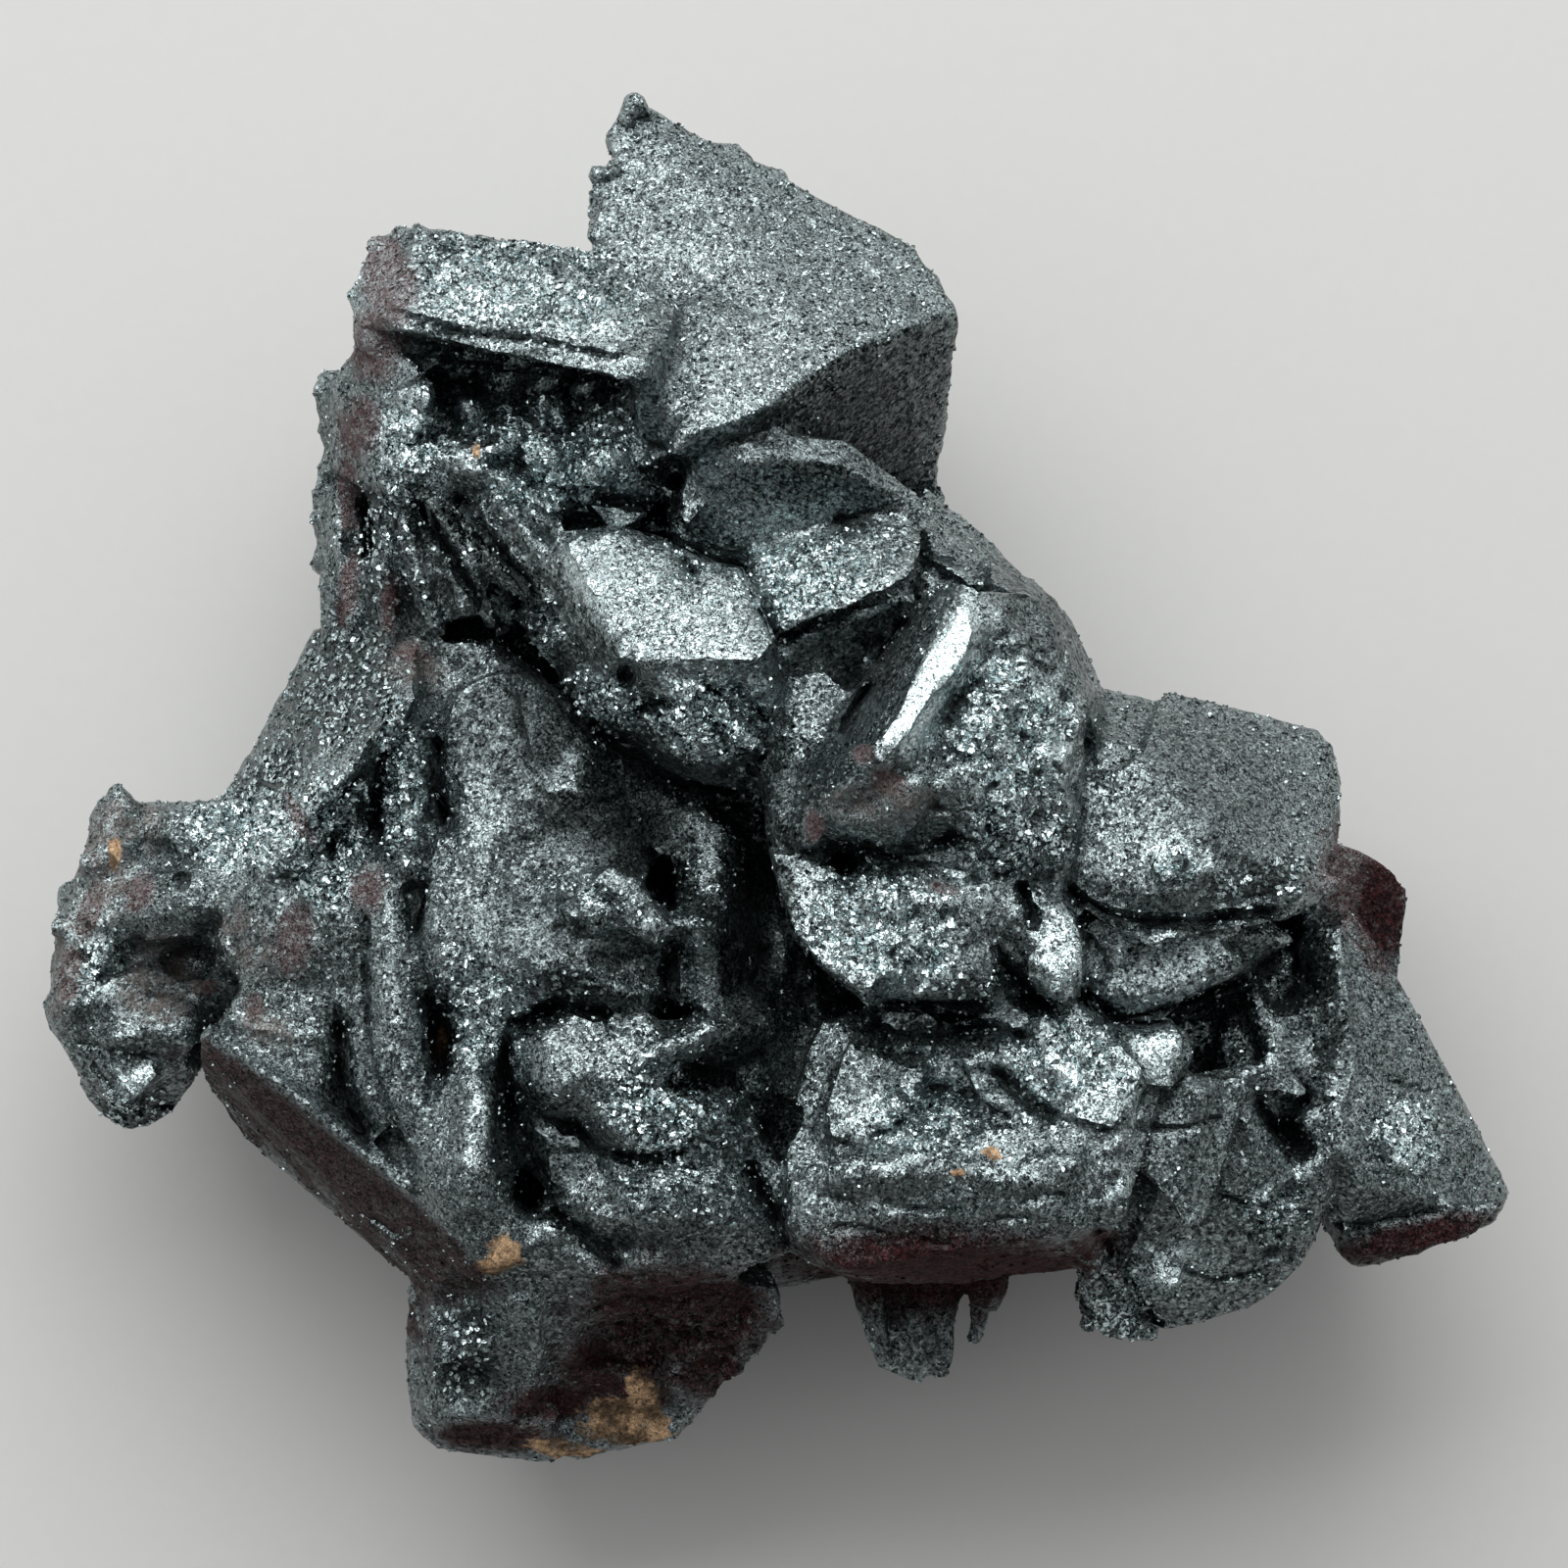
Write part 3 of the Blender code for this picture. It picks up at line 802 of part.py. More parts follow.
def bottom_lobe(growths, chance):
    """The lobe at the bottom: facets at its left, a red hollow and a brown lower edge."""
    crystal("bottom_lobe_left", rooted([
        (-30.6, -41.0, 27.0), (-26.0, -42.4, 34.0), (-20.4, -43.6, 35.0), (-20.6, -50.0, 30.0),
        (-18.6, -56.0, 21.0),
        (-24.0, -55.8, 21.0), (-28.8, -55.0, 21.0), (-30.8, -53.4, 21.0), (-31.2, -48.0, 23.0),
    ], 8.0, 0.72, (1.0, 5.0)), growths)
    crystal("bottom_lobe_chunk", rooted([
        (-30.0, -50.6, 25.4), (-25.0, -50.0, 29.6), (-21.6, -51.6, 28.6), (-23.0, -54.6, 24.6),
        (-28.6, -54.0, 23.4),
    ], 12.0, 0.85), growths)
    crystal("bottom_lobe_middle", rooted([
        (-22.4, -40.6, 36.6), (-14.0, -41.2, 36.6), (-4.0, -40.4, 36.6), (0.0, -41.2, 33.0),
        (-1.2, -43.8, 28.0), (-3.4, -47.0, 24.0),
        (-6.4, -49.4, 22.0), (-8.0, -53.6, 18.0), (-12.0, -55.0, 17.0), (-17.0, -56.2, 16.0),
        (-20.4, -55.6, 18.0),
        (-22.8, -50.0, 26.0),
    ], 8.0, 0.72, (0.0, 6.0)), growths)
    crystal("bottom_lobe_step", rooted([
        (-29.0, -40.6, 31.0), (-25.6, -39.6, 34.6), (-21.6, -40.6, 36.0), (-22.6, -45.6, 33.6),
        (-25.0, -47.6, 30.6),
        (-29.6, -46.6, 28.6),
    ], 20.0, 0.8), growths)
    crystal("bottom_lobe_rib", rooted([
        (-22.6, -41.6, 37.2), (-19.6, -42.0, 37.2), (-19.6, -47.0, 32.4), (-21.6, -51.0, 28.4),
        (-23.4, -47.0, 31.6),
    ], 20.0, 0.8), growths)
    ridge("bottom_lobe_rim_right", [
        (-1.6, -42.6, 31.6, 1.6), (-3.4, -45.4, 27.6, 1.6), (-6.8, -48.6, 24.0, 1.8),
    ], growths)
    ridge("bottom_lobe_rim_low", [
        (-9.6, -52.6, 20.0, 1.8), (-14.0, -53.0, 21.0, 2.0), (-19.0, -53.6, 20.6, 2.0),
    ], growths)
    crystal("tan_crust", rooted([
        (-14.6, -50.6, 25.0), (-11.4, -48.6, 26.6), (-10.4, -52.0, 22.6), (-14.0, -54.6, 19.4),
        (-19.4, -55.4, 19.0), (-18.6, -53.0, 22.6),
    ], 14.0, 0.8), growths)
    knobs("bottom_lobe_knob", (-30.2, -43.0, 25.0), (-29.6, -53.0, 21.0),
          6, KNOB_SIZE * 0.8, 0.4, growths, chance)


def side_crystals(growths):
    """Crystals on the sides and behind, which the front view doesn't show."""
    placed = (
        ("side_top", (-3, 33, 14), 12, (18, 12, 20)),
        ("side_top_left", (-23, 31, 14), 11, (-14, 20, 50)),
        ("side_left_high", (-28, 18, 13), 10, (25, -10, 10)),
        ("side_left", (-33, 0, 12), 10, (-20, 30, 35)),
        ("side_left_low", (-39, -15, 13), 10, (12, 24, -15)),
        ("side_bottom_left", (-22, -38, 12), 11, (30, 8, 25)),
        ("side_bottom", (-7, -34, 12), 11, (-18, 22, 40)),
        ("side_bottom_right", (18, -29, 12), 12, (24, -16, 5)),
        ("side_right_low", (36, -25, 13), 12, (-12, 28, 15)),
        ("side_right", (37, -7, 14), 11, (28, 14, 48)),
        ("side_right_high", (15, 6, 13), 12, (-24, 12, 30)),
    )
    for name, middle, radius, turn in placed:
        octahedron(name, middle, radius, turn, growths)


def hollows(pits):
    """Holes, cracks and notches cut into the face."""
    crystal("hollow_under_slab_cut", [
        (-28.0, 35.6, 52.0), (-12.0, 32.0, 54.0), (-12.6, 31.0, 36.0), (-17.0, 32.4, 34.0),
        (-27.0, 34.4, 34.0),
        (-29.0, 33.8, 40.0), (-18.0, 31.6, 52.0), (-26.0, 33.4, 50.0),
    ], pits)
    crystal("black_cavity_cut", [
        (-29.0, 13.0, 46.0), (-22.6, 13.8, 46.0), (-23.0, 11.4, 46.0), (-28.6, 11.4, 46.0),
        (-28.0, 13.2, 26.0), (-23.6, 13.6, 26.0), (-24.0, 11.8, 26.0), (-27.6, 11.8, 26.0),
    ], pits)
    crystal("hole_upper_cut", [
        (-10.4, -4.6, 50.0), (-8.4, -5.6, 50.0), (-8.0, -11.2, 50.0), (-12.0, -8.8, 50.0),
        (-10.2, -6.2, 26.0), (-9.2, -6.8, 26.0), (-9.2, -9.8, 26.0), (-10.6, -8.2, 26.0),
    ], pits)
    crystal("hole_lower_cut", [
        (-9.6, -13.0, 50.0), (-7.2, -12.4, 50.0), (-7.6, -17.6, 50.0), (-6.8, -20.2, 50.0),
        (-9.6, -18.6, 50.0),
        (-9.0, -13.6, 26.0), (-8.0, -13.6, 26.0), (-7.8, -18.0, 26.0), (-9.0, -17.6, 26.0),
    ], pits)
    crystal("diamond_hole_cut", [
        (-21.8, -30.0, 46.0), (-18.6, -33.0, 46.0), (-20.2, -36.2, 46.0), (-22.4, -34.0, 46.0),
        (-21.0, -31.4, 22.0), (-19.6, -33.0, 22.0), (-20.4, -34.8, 22.0), (-21.4, -33.6, 22.0),
    ], pits)
    crystal("crack_top_cut", [
        (-23.4, -18.8, 46.0), (-18.4, -17.0, 46.0), (-15.6, -17.6, 46.0), (-18.4, -18.6, 46.0),
        (-23.0, -20.4, 46.0),
        (-20.6, -18.2, 31.0), (-17.6, -17.8, 31.0), (-22.4, -19.6, 32.0),
    ], pits)
    crystal("crack_side_cut", [
        (-23.2, -19.0, 46.0), (-22.2, -19.4, 46.0), (-22.4, -26.0, 46.0), (-20.8, -31.0, 46.0),
        (-21.8, -31.4, 46.0),
        (-23.2, -26.0, 46.0), (-22.4, -20.0, 33.0), (-22.6, -26.0, 33.0), (-21.4, -30.4, 31.0),
    ], pits)
    crystal("gap_left_of_cone_cut", [
        (-29.2, 4.0, 46.0), (-28.0, 4.4, 46.0), (-27.6, -5.0, 46.0), (-26.8, -8.4, 46.0),
        (-28.4, -7.6, 46.0), (-29.6, -1.0, 46.0),
        (-28.8, 2.0, 30.0), (-28.3, 2.4, 30.0), (-28.0, -4.6, 30.0), (-28.6, -4.0, 30.0),
    ], pits)
    crystal("brown_cavity_cut", [
        (-29.6, -16.6, 46.0), (-27.4, -20.0, 46.0), (-25.6, -19.6, 46.0), (-27.2, -24.6, 46.0),
        (-28.8, -26.0, 46.0),
        (-28.8, -17.6, 29.0), (-27.4, -20.4, 29.0), (-28.2, -24.6, 29.0),
    ], pits)
    crystal("gap_under_bright_cut", [
        (-8.0, -0.4, 48.0), (-4.4, -2.0, 48.0), (-4.0, -5.0, 48.0), (-1.4, -5.0, 48.0),
        (-2.4, -1.6, 48.0), (-5.0, -0.8, 48.0),
        (-6.4, -1.4, 25.0), (-3.4, -4.4, 25.0), (-2.2, -4.0, 25.0), (-3.0, -1.8, 25.0),
    ], pits)
    crystal("break_across_cut", [
        (0.0, -4.9, 60.0), (8.0, -5.4, 62.0), (15.0, -6.8, 60.0), (14.6, -7.4, 60.0),
        (8.0, -6.4, 62.0), (0.0, -5.8, 60.0),
        (2.6, -5.6, 47.0), (8.0, -6.2, 48.4), (13.0, -7.0, 49.0),
    ], pits)
    crystal("ridge_hole_cut", [
        (2.4, -5.0, 60.0), (6.6, -5.0, 60.0), (6.0, -8.4, 60.0), (4.0, -8.0, 60.0),
        (3.4, -5.8, 38.0), (5.6, -5.8, 38.0), (5.2, -7.2, 38.0), (4.2, -7.2, 38.0),
    ], pits)
    crystal("saddle_hole_left_cut", [
        (-9.4, 26.2, 52.0), (-7.6, 25.6, 52.0), (-8.0, 22.6, 52.0), (-10.2, 23.6, 52.0),
        (-9.0, 25.4, 30.0), (-8.0, 25.0, 30.0), (-8.4, 23.6, 30.0), (-9.4, 24.2, 30.0),
    ], pits)
    crystal("saddle_hole_right_cut", [
        (2.0, 22.0, 52.0), (6.4, 22.4, 52.0), (7.0, 21.0, 52.0), (3.0, 20.4, 52.0),
        (3.0, 21.6, 36.0), (6.0, 21.6, 36.0), (5.0, 20.8, 36.0),
    ], pits)
    crystal("slab_pit_cut", [
        (7.6, -25.4, 52.0), (12.4, -24.6, 52.0), (15.0, -26.0, 52.0), (13.0, -27.4, 52.0),
        (8.6, -27.0, 52.0),
        (9.6, -25.8, 38.0), (12.6, -25.6, 38.0), (11.6, -26.6, 38.0),
    ], pits)
    crystal("deep_right_cut", [
        (36.4, -14.6, 48.0), (42.4, -11.6, 48.0), (44.4, -12.4, 48.0), (43.2, -19.6, 48.0),
        (39.6, -20.4, 48.0),
        (38.6, -14.8, 24.0), (42.4, -13.2, 24.0), (42.0, -17.6, 24.0), (39.8, -18.4, 24.0),
    ], pits)
    crystal("notch_cut", [
        (39.0, -25.6, 48.0), (41.4, -26.4, 48.0), (45.4, -30.0, 48.0), (43.6, -31.4, 48.0),
        (41.4, -31.2, 48.0), (39.8, -29.0, 48.0),
        (40.4, -27.4, 29.4), (41.6, -27.8, 29.0), (42.8, -29.8, 29.4), (41.8, -30.2, 30.0),
        (40.9, -29.0, 29.4),
    ], pits)
    # Upright grooves, each through three points and tapering to its ends.
    grooves = (
        ((-32.6, -10.0), (-33.8, -16.4), (-35.8, -23.0)),
        ((-31.6, 3.4), (-32.6, -2.4), (-33.6, -7.0)),
        ((-36.0, -23.6), (-34.0, -27.2), (-31.2, -30.4)),
    )
    for number, line in enumerate(grooves):
        for part, (start, end) in enumerate(zip(line, line[1:])):
            corners = []
            for (x, y), taper in ((start, GROOVE_TAPER[part]), (end, GROOVE_TAPER[part + 1])):
                for side in (-GROOVE_WIDTH * taper, GROOVE_WIDTH * taper):
                    corners.append((x + side, y, GROOVE_TOP))
                corners.append((x, y, GROOVE_TOP - (GROOVE_TOP - GROOVE_FLOOR) * taper))
            crystal(f"groove_cut_{number}_{part}", corners, pits)
    crystal("lobe_hollow_cut", [
        (-51.6, -11.8, 36.0), (-46.4, -11.0, 38.0), (-44.4, -14.6, 38.0), (-46.4, -18.0, 36.0),
        (-52.4, -17.2, 34.0),
        (-54.4, -14.6, 33.0), (-49.4, -13.4, 22.6), (-47.0, -13.6, 22.4), (-47.6, -15.8, 22.4),
        (-50.0, -15.6, 23.0),
    ], pits)
    crystal("red_hollow_cut", [
        (-19.6, -43.0, 42.0), (-12.0, -41.8, 42.0), (-4.4, -42.4, 42.0), (-3.6, -44.6, 40.0),
        (-8.0, -50.0, 40.0),
        (-15.6, -50.4, 40.0), (-20.2, -46.0, 40.0), (-16.4, -44.4, 30.2), (-11.6, -43.6, 29.4),
        (-6.8, -44.4, 28.4),
        (-10.0, -48.2, 24.0), (-15.6, -47.6, 25.4),
    ], pits)
    crystal("dark_valley_cut", [
        (-2.0, -5.6, 48.0), (-0.6, -6.0, 48.0), (2.6, -14.0, 48.0), (3.8, -19.0, 48.0),
        (1.6, -22.0, 48.0), (-0.6, -14.0, 48.0),
        (-0.8, -8.0, 27.0), (1.6, -15.0, 27.0), (2.4, -20.0, 27.0),
    ], pits)


def dark_metal():
    """Dark grey metallic material of the crystals."""
    made = bpy.data.materials.new("dark_hematite")
    made.use_nodes = True
    shader = made.node_tree.nodes["Principled BSDF"]
    shader.inputs["Base Color"].default_value = (0.060, 0.068, 0.072, 1.0)
    shader.inputs["Metallic"].default_value = 0.6
    shader.inputs["Roughness"].default_value = 0.42
    made.diffuse_color = (0.060, 0.068, 0.072, 1.0)
    return made


def evaluated_mesh(thing):
    """A new mesh holding an object's shape with its modifiers."""
    bpy.context.view_layer.update()
    graph = bpy.context.evaluated_depsgraph_get()
    return bpy.data.meshes.new_from_object(thing.evaluated_get(graph))


def gathered(growths):
    """All growths as one bmesh of overlapping closed shells. The growths themselves are removed."""
    work = bmesh.new()
    for thing in list(growths.objects):
        mesh = evaluated_mesh(thing)
        work.from_mesh(mesh)
        bpy.data.meshes.remove(mesh)
        bpy.data.objects.remove(thing)
    return work


def keep_outer_shell(mesh):
    """Deletes every shell but the largest, so that no sealed gap stays between the crystals."""
    work = bmesh.new()
    work.from_mesh(mesh)
    work.verts.ensure_lookup_table()
    seen = set()
    shells = []
    for seed in work.verts:
        if seed.index in seen:
            continue
        shell = [seed]
        seen.add(seed.index)
        for vertex in shell:
            for edge in vertex.link_edges:
                other = edge.other_vert(vertex)
                if other.index not in seen:
                    seen.add(other.index)
                    shell.append(other)
        shells.append(shell)
    largest = max(shells, key=len)
    spare = [vertex for shell in shells if shell is not largest for vertex in shell]
    bmesh.ops.delete(work, geom=spare, context="VERTS")
    work.to_mesh(mesh)
    work.free()


def voxel_merge(thing):
    """Gives an object its own shape back as one even, closed shell."""
    merge = thing.modifiers.new("merge", "REMESH")
    merge.mode = "VOXEL"
    merge.voxel_size = SURFACE_VOXEL * MM
    merged = evaluated_mesh(thing)
    thing.modifiers.clear()
    thing.data = merged
    keep_outer_shell(merged)


def join_all(growths, pits, home):
    """Merges the growths into one solid, cuts the hollows out of it and thins its faces."""
    cluster = link_mesh(CLUSTER_NAME, gathered(growths), home)
    voxel_merge(cluster)
    first_thin = cluster.modifiers.new("first_thin", "DECIMATE")
    first_thin.ratio = FIRST_SHARE
    cut = cluster.modifiers.new("hollows", "BOOLEAN")
    cut.operation = "DIFFERENCE"
    cut.operand_type = "COLLECTION"
    cut.collection = pits
    cut.solver = "EXACT"
    voxel_merge(cluster)
    thin = cluster.modifiers.new("thin", "DECIMATE")
    thin.ratio = TRIANGLE_COUNT / (2 * len(cluster.data.polygons))
    thin.use_collapse_triangulate = True
    return cluster


def flatten_break(cluster, pits):
    """Saws the underside off flat, then sets the cluster centred on the origin with the cut at z = 0."""
    work = bmesh.new()
    bmesh.ops.create_cube(work, size=SAW_SIZE * MM)
    bmesh.ops.translate(work, verts=work.verts, vec=(0, 0, (BASE_CUT - SAW_SIZE / 2) * MM))
    saw_cut = cluster.modifiers.new("flat_break", "BOOLEAN")
    saw_cut.operation = "DIFFERENCE"
    saw_cut.object = link_mesh("break_saw", work, pits)
    saw_cut.solver = "EXACT"
    sawn = evaluated_mesh(cluster)
    cluster.modifiers.clear()
    cluster.data = sawn
    low = Vector([min(vertex.co[axis] for vertex in sawn.vertices) for axis in range(3)])
    high = Vector([max(vertex.co[axis] for vertex in sawn.vertices) for axis in range(3)])
    middle = (low + high) / 2
    sawn.transform(Matrix.Translation((-middle.x, -middle.y, -low.z)))
    sawn.materials.clear()
    sawn.materials.append(dark_metal())


def hide_cutters(collection):
    collection.hide_render = True
    for thing in collection.objects:
        thing.hide_render = True
        thing.display_type = "WIRE"


def main():
    clear_scene()
    home = new_collection("hematite_cluster")
    growths = new_collection("growths_to_join")
    pits = new_collection("cutters")
    chance = random.Random(SEED)
    matrix_core(growths)
    regions = (
        top_crystal, upper_left_slab, left_folds, bright_crystal, saddle_crystals, central_ridge,
        lower_ridge, right_block, right_point, lower_right, bottom_slab, dark_cone, melted_centre,
        left_ridge, left_lobe, dark_plate, bottom_lobe,
    )
    for region in regions:
        region(growths, chance)
    side_crystals(growths)
    hollows(pits)
    cluster = join_all(growths, pits, home)
    flatten_break(cluster, pits)
    bpy.data.collections.remove(growths)
    hide_cutters(pits)


if __name__ == "__main__":
    main()
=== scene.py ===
import math

import bmesh
import bpy
import numpy as np
from bpy.props import FloatProperty, FloatVectorProperty, IntProperty, PointerProperty
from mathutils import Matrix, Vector
from mathutils.bvhtree import BVHTree
from mathutils.kdtree import KDTree


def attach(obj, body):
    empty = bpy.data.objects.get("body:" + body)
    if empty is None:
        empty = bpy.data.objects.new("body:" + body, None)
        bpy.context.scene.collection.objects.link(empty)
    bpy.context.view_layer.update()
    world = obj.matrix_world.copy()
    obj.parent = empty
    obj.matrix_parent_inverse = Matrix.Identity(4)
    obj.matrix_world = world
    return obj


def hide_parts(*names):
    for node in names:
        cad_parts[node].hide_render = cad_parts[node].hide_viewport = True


bl_info = {
    "name": "Hematite pseudomorph after magnetite",
    "version": (1, 0, 0),
    "blender": (4, 5, 0),
    "location": "3D View > Sidebar > Hematite",
    "description": "Dresses the solid cluster with relief, platelets, oxide stains and a plain studio",
    "category": "Object",
}

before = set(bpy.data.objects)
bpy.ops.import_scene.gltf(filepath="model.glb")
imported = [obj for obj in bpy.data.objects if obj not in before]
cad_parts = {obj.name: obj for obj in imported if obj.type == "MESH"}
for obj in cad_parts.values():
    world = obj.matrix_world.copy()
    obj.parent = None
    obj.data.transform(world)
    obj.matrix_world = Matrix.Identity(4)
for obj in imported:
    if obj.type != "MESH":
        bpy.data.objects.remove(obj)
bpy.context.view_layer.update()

MM = 0.001
NODE = "crystal_cluster"

# Where the photograph's pixels lie on the cluster, in millimetres.
PIXEL = 0.08
FRAME_HALF = 64.0
CENTRED = (0.7555, 0.1136)   # the solid is centred on its box, so it moved by this much
EYE_HEIGHT = 899.5           # height of the camera above the break
FRAMED_DEPTH = 870.0         # distance from the camera at which one pixel is PIXEL wide
FACE_HEIGHT = 38.0           # height at which most of the face lies
RIM_HEIGHT = 28.0            # height that a line of sight is taken to have where it misses the solid
ABSOLUTE = 10.0              # a height over this is above the break, a lower one above the surface
EYE = Vector((*CENTRED, EYE_HEIGHT)) * MM

# Sizes of the work on the mesh, in millimetres where nothing else is said.
WELD = 0.002                 # points nearer than this are one point
FACET_SPREAD = 2.5           # a crystal face is fitted to what lies this near to its usual height
FACET_SIDES = 3.0            # how far a crystal face's sides reach down
FOLD_SOFTENING = 1.8         # how far from a rib the skin is smoothed
UNSEEN_BELOW = 14.0          # what lies lower is thinned first
SMOOTH_ANGLE = 30.0          # degrees; a sharper edge stays sharp

# Platelets: piece, its lowest and highest y in millimetres (None for the sides), the most that
# stand on a square millimetre, and seed.
PLATELETS = (
    ("platelets_upper", (14.0, 99.0), 1.7, 3),
    ("platelets_middle", (-16.0, 14.0), 1.7, 13),
    ("platelets_lower", (-99.0, -16.0), 1.7, 23),
    ("platelets_sides", None, 0.42, 33),
)
PLATELET_THICKNESS = 0.4     # share of its width
PLATELET_TOP = 0.8           # share of its width that its upper face has
PLATELET_LEAN = 24.0         # degrees, each way at most
SMALLEST = (0.45, 0.35, 0.7)  # a platelet's least and greatest scale along x, y and z
LARGEST = (1.35, 0.9, 1.3)

# The stage, in metres.
FLOOR_SIZE = 3.0
WINDOW_PLACE = Vector((-0.14, 0.80, 0.78))
WINDOW_AIM = Vector((0.0, 0.0, 0.03))
WINDOW_SIZE = (1.3, 0.9)
WINDOW_TINT = (0.98, 1.0, 1.0)
SKY_TINT = (0.97, 1.0, 1.0)
SENSOR = 36.0                # in millimetres


def spot(px, py, height=FACE_HEIGHT):
    """A place on the face, in millimetres, from its place in the 1600 x 1600 frame."""
    spread = (EYE_HEIGHT - height) / FRAMED_DEPTH
    x = (px * PIXEL - FRAME_HALF) * spread + CENTRED[0]
    y = (FRAME_HALF - py * PIXEL) * spread + CENTRED[1]
    return x, y


def touch(tree, px, py):
    """Where the line of sight through a frame position meets the solid, in metres."""
    way = Vector((px * PIXEL - FRAME_HALF, FRAME_HALF - py * PIXEL, -FRAMED_DEPTH)).normalized()
    found = tree.ray_cast(EYE, way)[0]
    if found is None:
        found = tree.find_nearest(EYE + way * (EYE_HEIGHT - RIM_HEIGHT) * MM)[0]
    return found


def place_at(tree, px, py, height):
    """A point in metres at a frame position, at a height above the break or above the surface."""
    if height <= ABSOLUTE:
        found = touch(tree, px, py)
        return found + Vector((0.0, 0.0, height * MM))
    x, y = spot(px, py, height)
    return Vector((x, y, height)) * MM


def table(text):
    """Rows of numbers, parted by commas."""
    return [[float(number) for number in row.split()] for row in text.split(",")]


def grouped(width, text):
    """Rows of numbers whose numbers belong together so many at a time."""
    return [[row[start:start + width] for start in range(0, len(row), width)] for row in table(text)]


# Lines on the face: frame positions from end to end.
LINES = {
    "deep": grouped(2, """
        713 712 740 748 770 786, 726 702 748 724 772 748, 744 698 760 712 776 732, 652 726 664 720 682 718,
        740 790 760 780 776 772, 402 728 394 752 370 790 343 820 318 848, 392 760 386 800 380 840,
        346 1050 344 1090 348 1130 372 1160, 444 760 446 800 450 834,
        520 1058 546 1034 574 1023 600 1030 618 1034, 518 1062 516 1100 524 1140 538 1180,
        560 1140 590 1150 612 1170 640 1180 690 1176, 690 1040 684 1016 680 990 688 962,
        766 1190 788 1238 802 1268, 662 544 688 556 708 588, 700 560 724 574 758 580,
        760 584 776 620 790 650, 842 858 880 864 912 868 950 860 980 852, 858 750 872 722 886 700,
        900 676 912 658 924 640, 964 736 974 716 988 700, 866 1026 888 1042 905 1056,
        905 1026 950 1024 1000 1022, 1040 905 1046 922 1052 940, 1034 1100 1048 1118 1064 1128,
        1014 968 1026 990 1050 1010 1068 1026, 980 1050 1006 1046 1030 1052 1044 1056,
        1018 1090 1034 1112 1056 1128 1070 1134,
        1090 910 1100 920 1140 936 1172 942 1216 940 1250 934 1290 930,
        1100 1012 1118 1036 1150 1044 1196 1034 1240 1014 1280 1000, 1120 1254 1140 1284 1162 1324 1186 1356,
        1330 950 1336 980 1342 1010, 1284 1122 1298 1148 1320 1176, 662 872 674 896 686 924,
        556 684 590 726 620 760 662 786 700 804, 366 512 374 540 376 566, 430 520 452 548 474 590 512 650,
        474 512 510 560 540 600 560 636, 530 470 540 492 580 500 640 512 676 520, 566 1238 600 1262 628 1290
    """),
    "fine": grouped(2, """
        846 540 866 530 890 524, 600 716 612 760 640 796, 440 338 500 346 560 354 640 372,
        400 320 430 330 470 340, 410 362 480 368 560 378, 660 726 690 742 720 770 744 792,
        944 905 986 898 1029 890, 822 1216 850 1219 876 1226, 905 1226 950 1231 980 1226,
        1040 1222 1080 1214, 850 1252 880 1249 900 1254, 1004 1243 1040 1238 1062 1242, 940 1262 966 1266,
        1366 1252 1430 1250 1480 1240, 500 1300 560 1300 610 1304 660 1302, 600 1340 640 1326 700 1330,
        640 1372 700 1360 760 1372, 590 1400 650 1394 700 1410, 1162 1112 1148 1158 1134 1200 1112 1222,
        376 940 374 1000 378 1060, 436 1000 440 1040 442 1090 436 1124, 344 1030 345 1080 352 1130 380 1170,
        1000 700 1020 716 1042 708 1062 726, 1008 742 1040 752 1070 742 1096 760,
        990 792 1020 802 1050 790 1082 808, 1050 676 1074 700 1090 734, 1072 782 1090 800 1102 834,
        960 762 984 776 1006 770, 940 820 980 830 1020 824 1060 836, 1180 712 1182 740 1172 770,
        1010 604 1040 612 1068 626 1094 652, 990 760 1014 780 1044 796 1060 816, 1050 858 1062 880 1070 910,
        300 1180 350 1226 400 1262, 160 980 190 970 226 976, 70 1068 120 1078 170 1086,
        84 1092 130 1140 170 1130, 90 1000 130 990 160 984, 1160 1146 1200 1152 1240 1140,
        1250 1220 1300 1236 1340 1240, 1200 1290 1240 1310 1290 1300, 1110 956 1130 990 1120 1010,
        940 566 962 572 1000 578, 1422 1106 1444 1113 1466 1117
    """),
    "valleys": grouped(2, """
        690 290 694 340 688 400 680 440, 620 800 660 830 690 880, 770 900 790 960 800 1010,
        1350 1060 1366 1100 1350 1150, 1250 1100 1258 1160 1244 1220, 470 1330 520 1360 530 1400
    """),
    "crests": grouped(2, """
        412 722 380 768 340 812 300 862 272 886, 215 1052 280 1100 345 1152 428 1228,
        1150 940 1200 944 1240 930 1300 920 1330 906, 522 684 534 736 548 786 560 806,
        230 1040 290 1056 330 1060, 1176 770 1220 812 1262 842 1310 880, 1276 1118 1300 1112 1336 1122
    """),
}

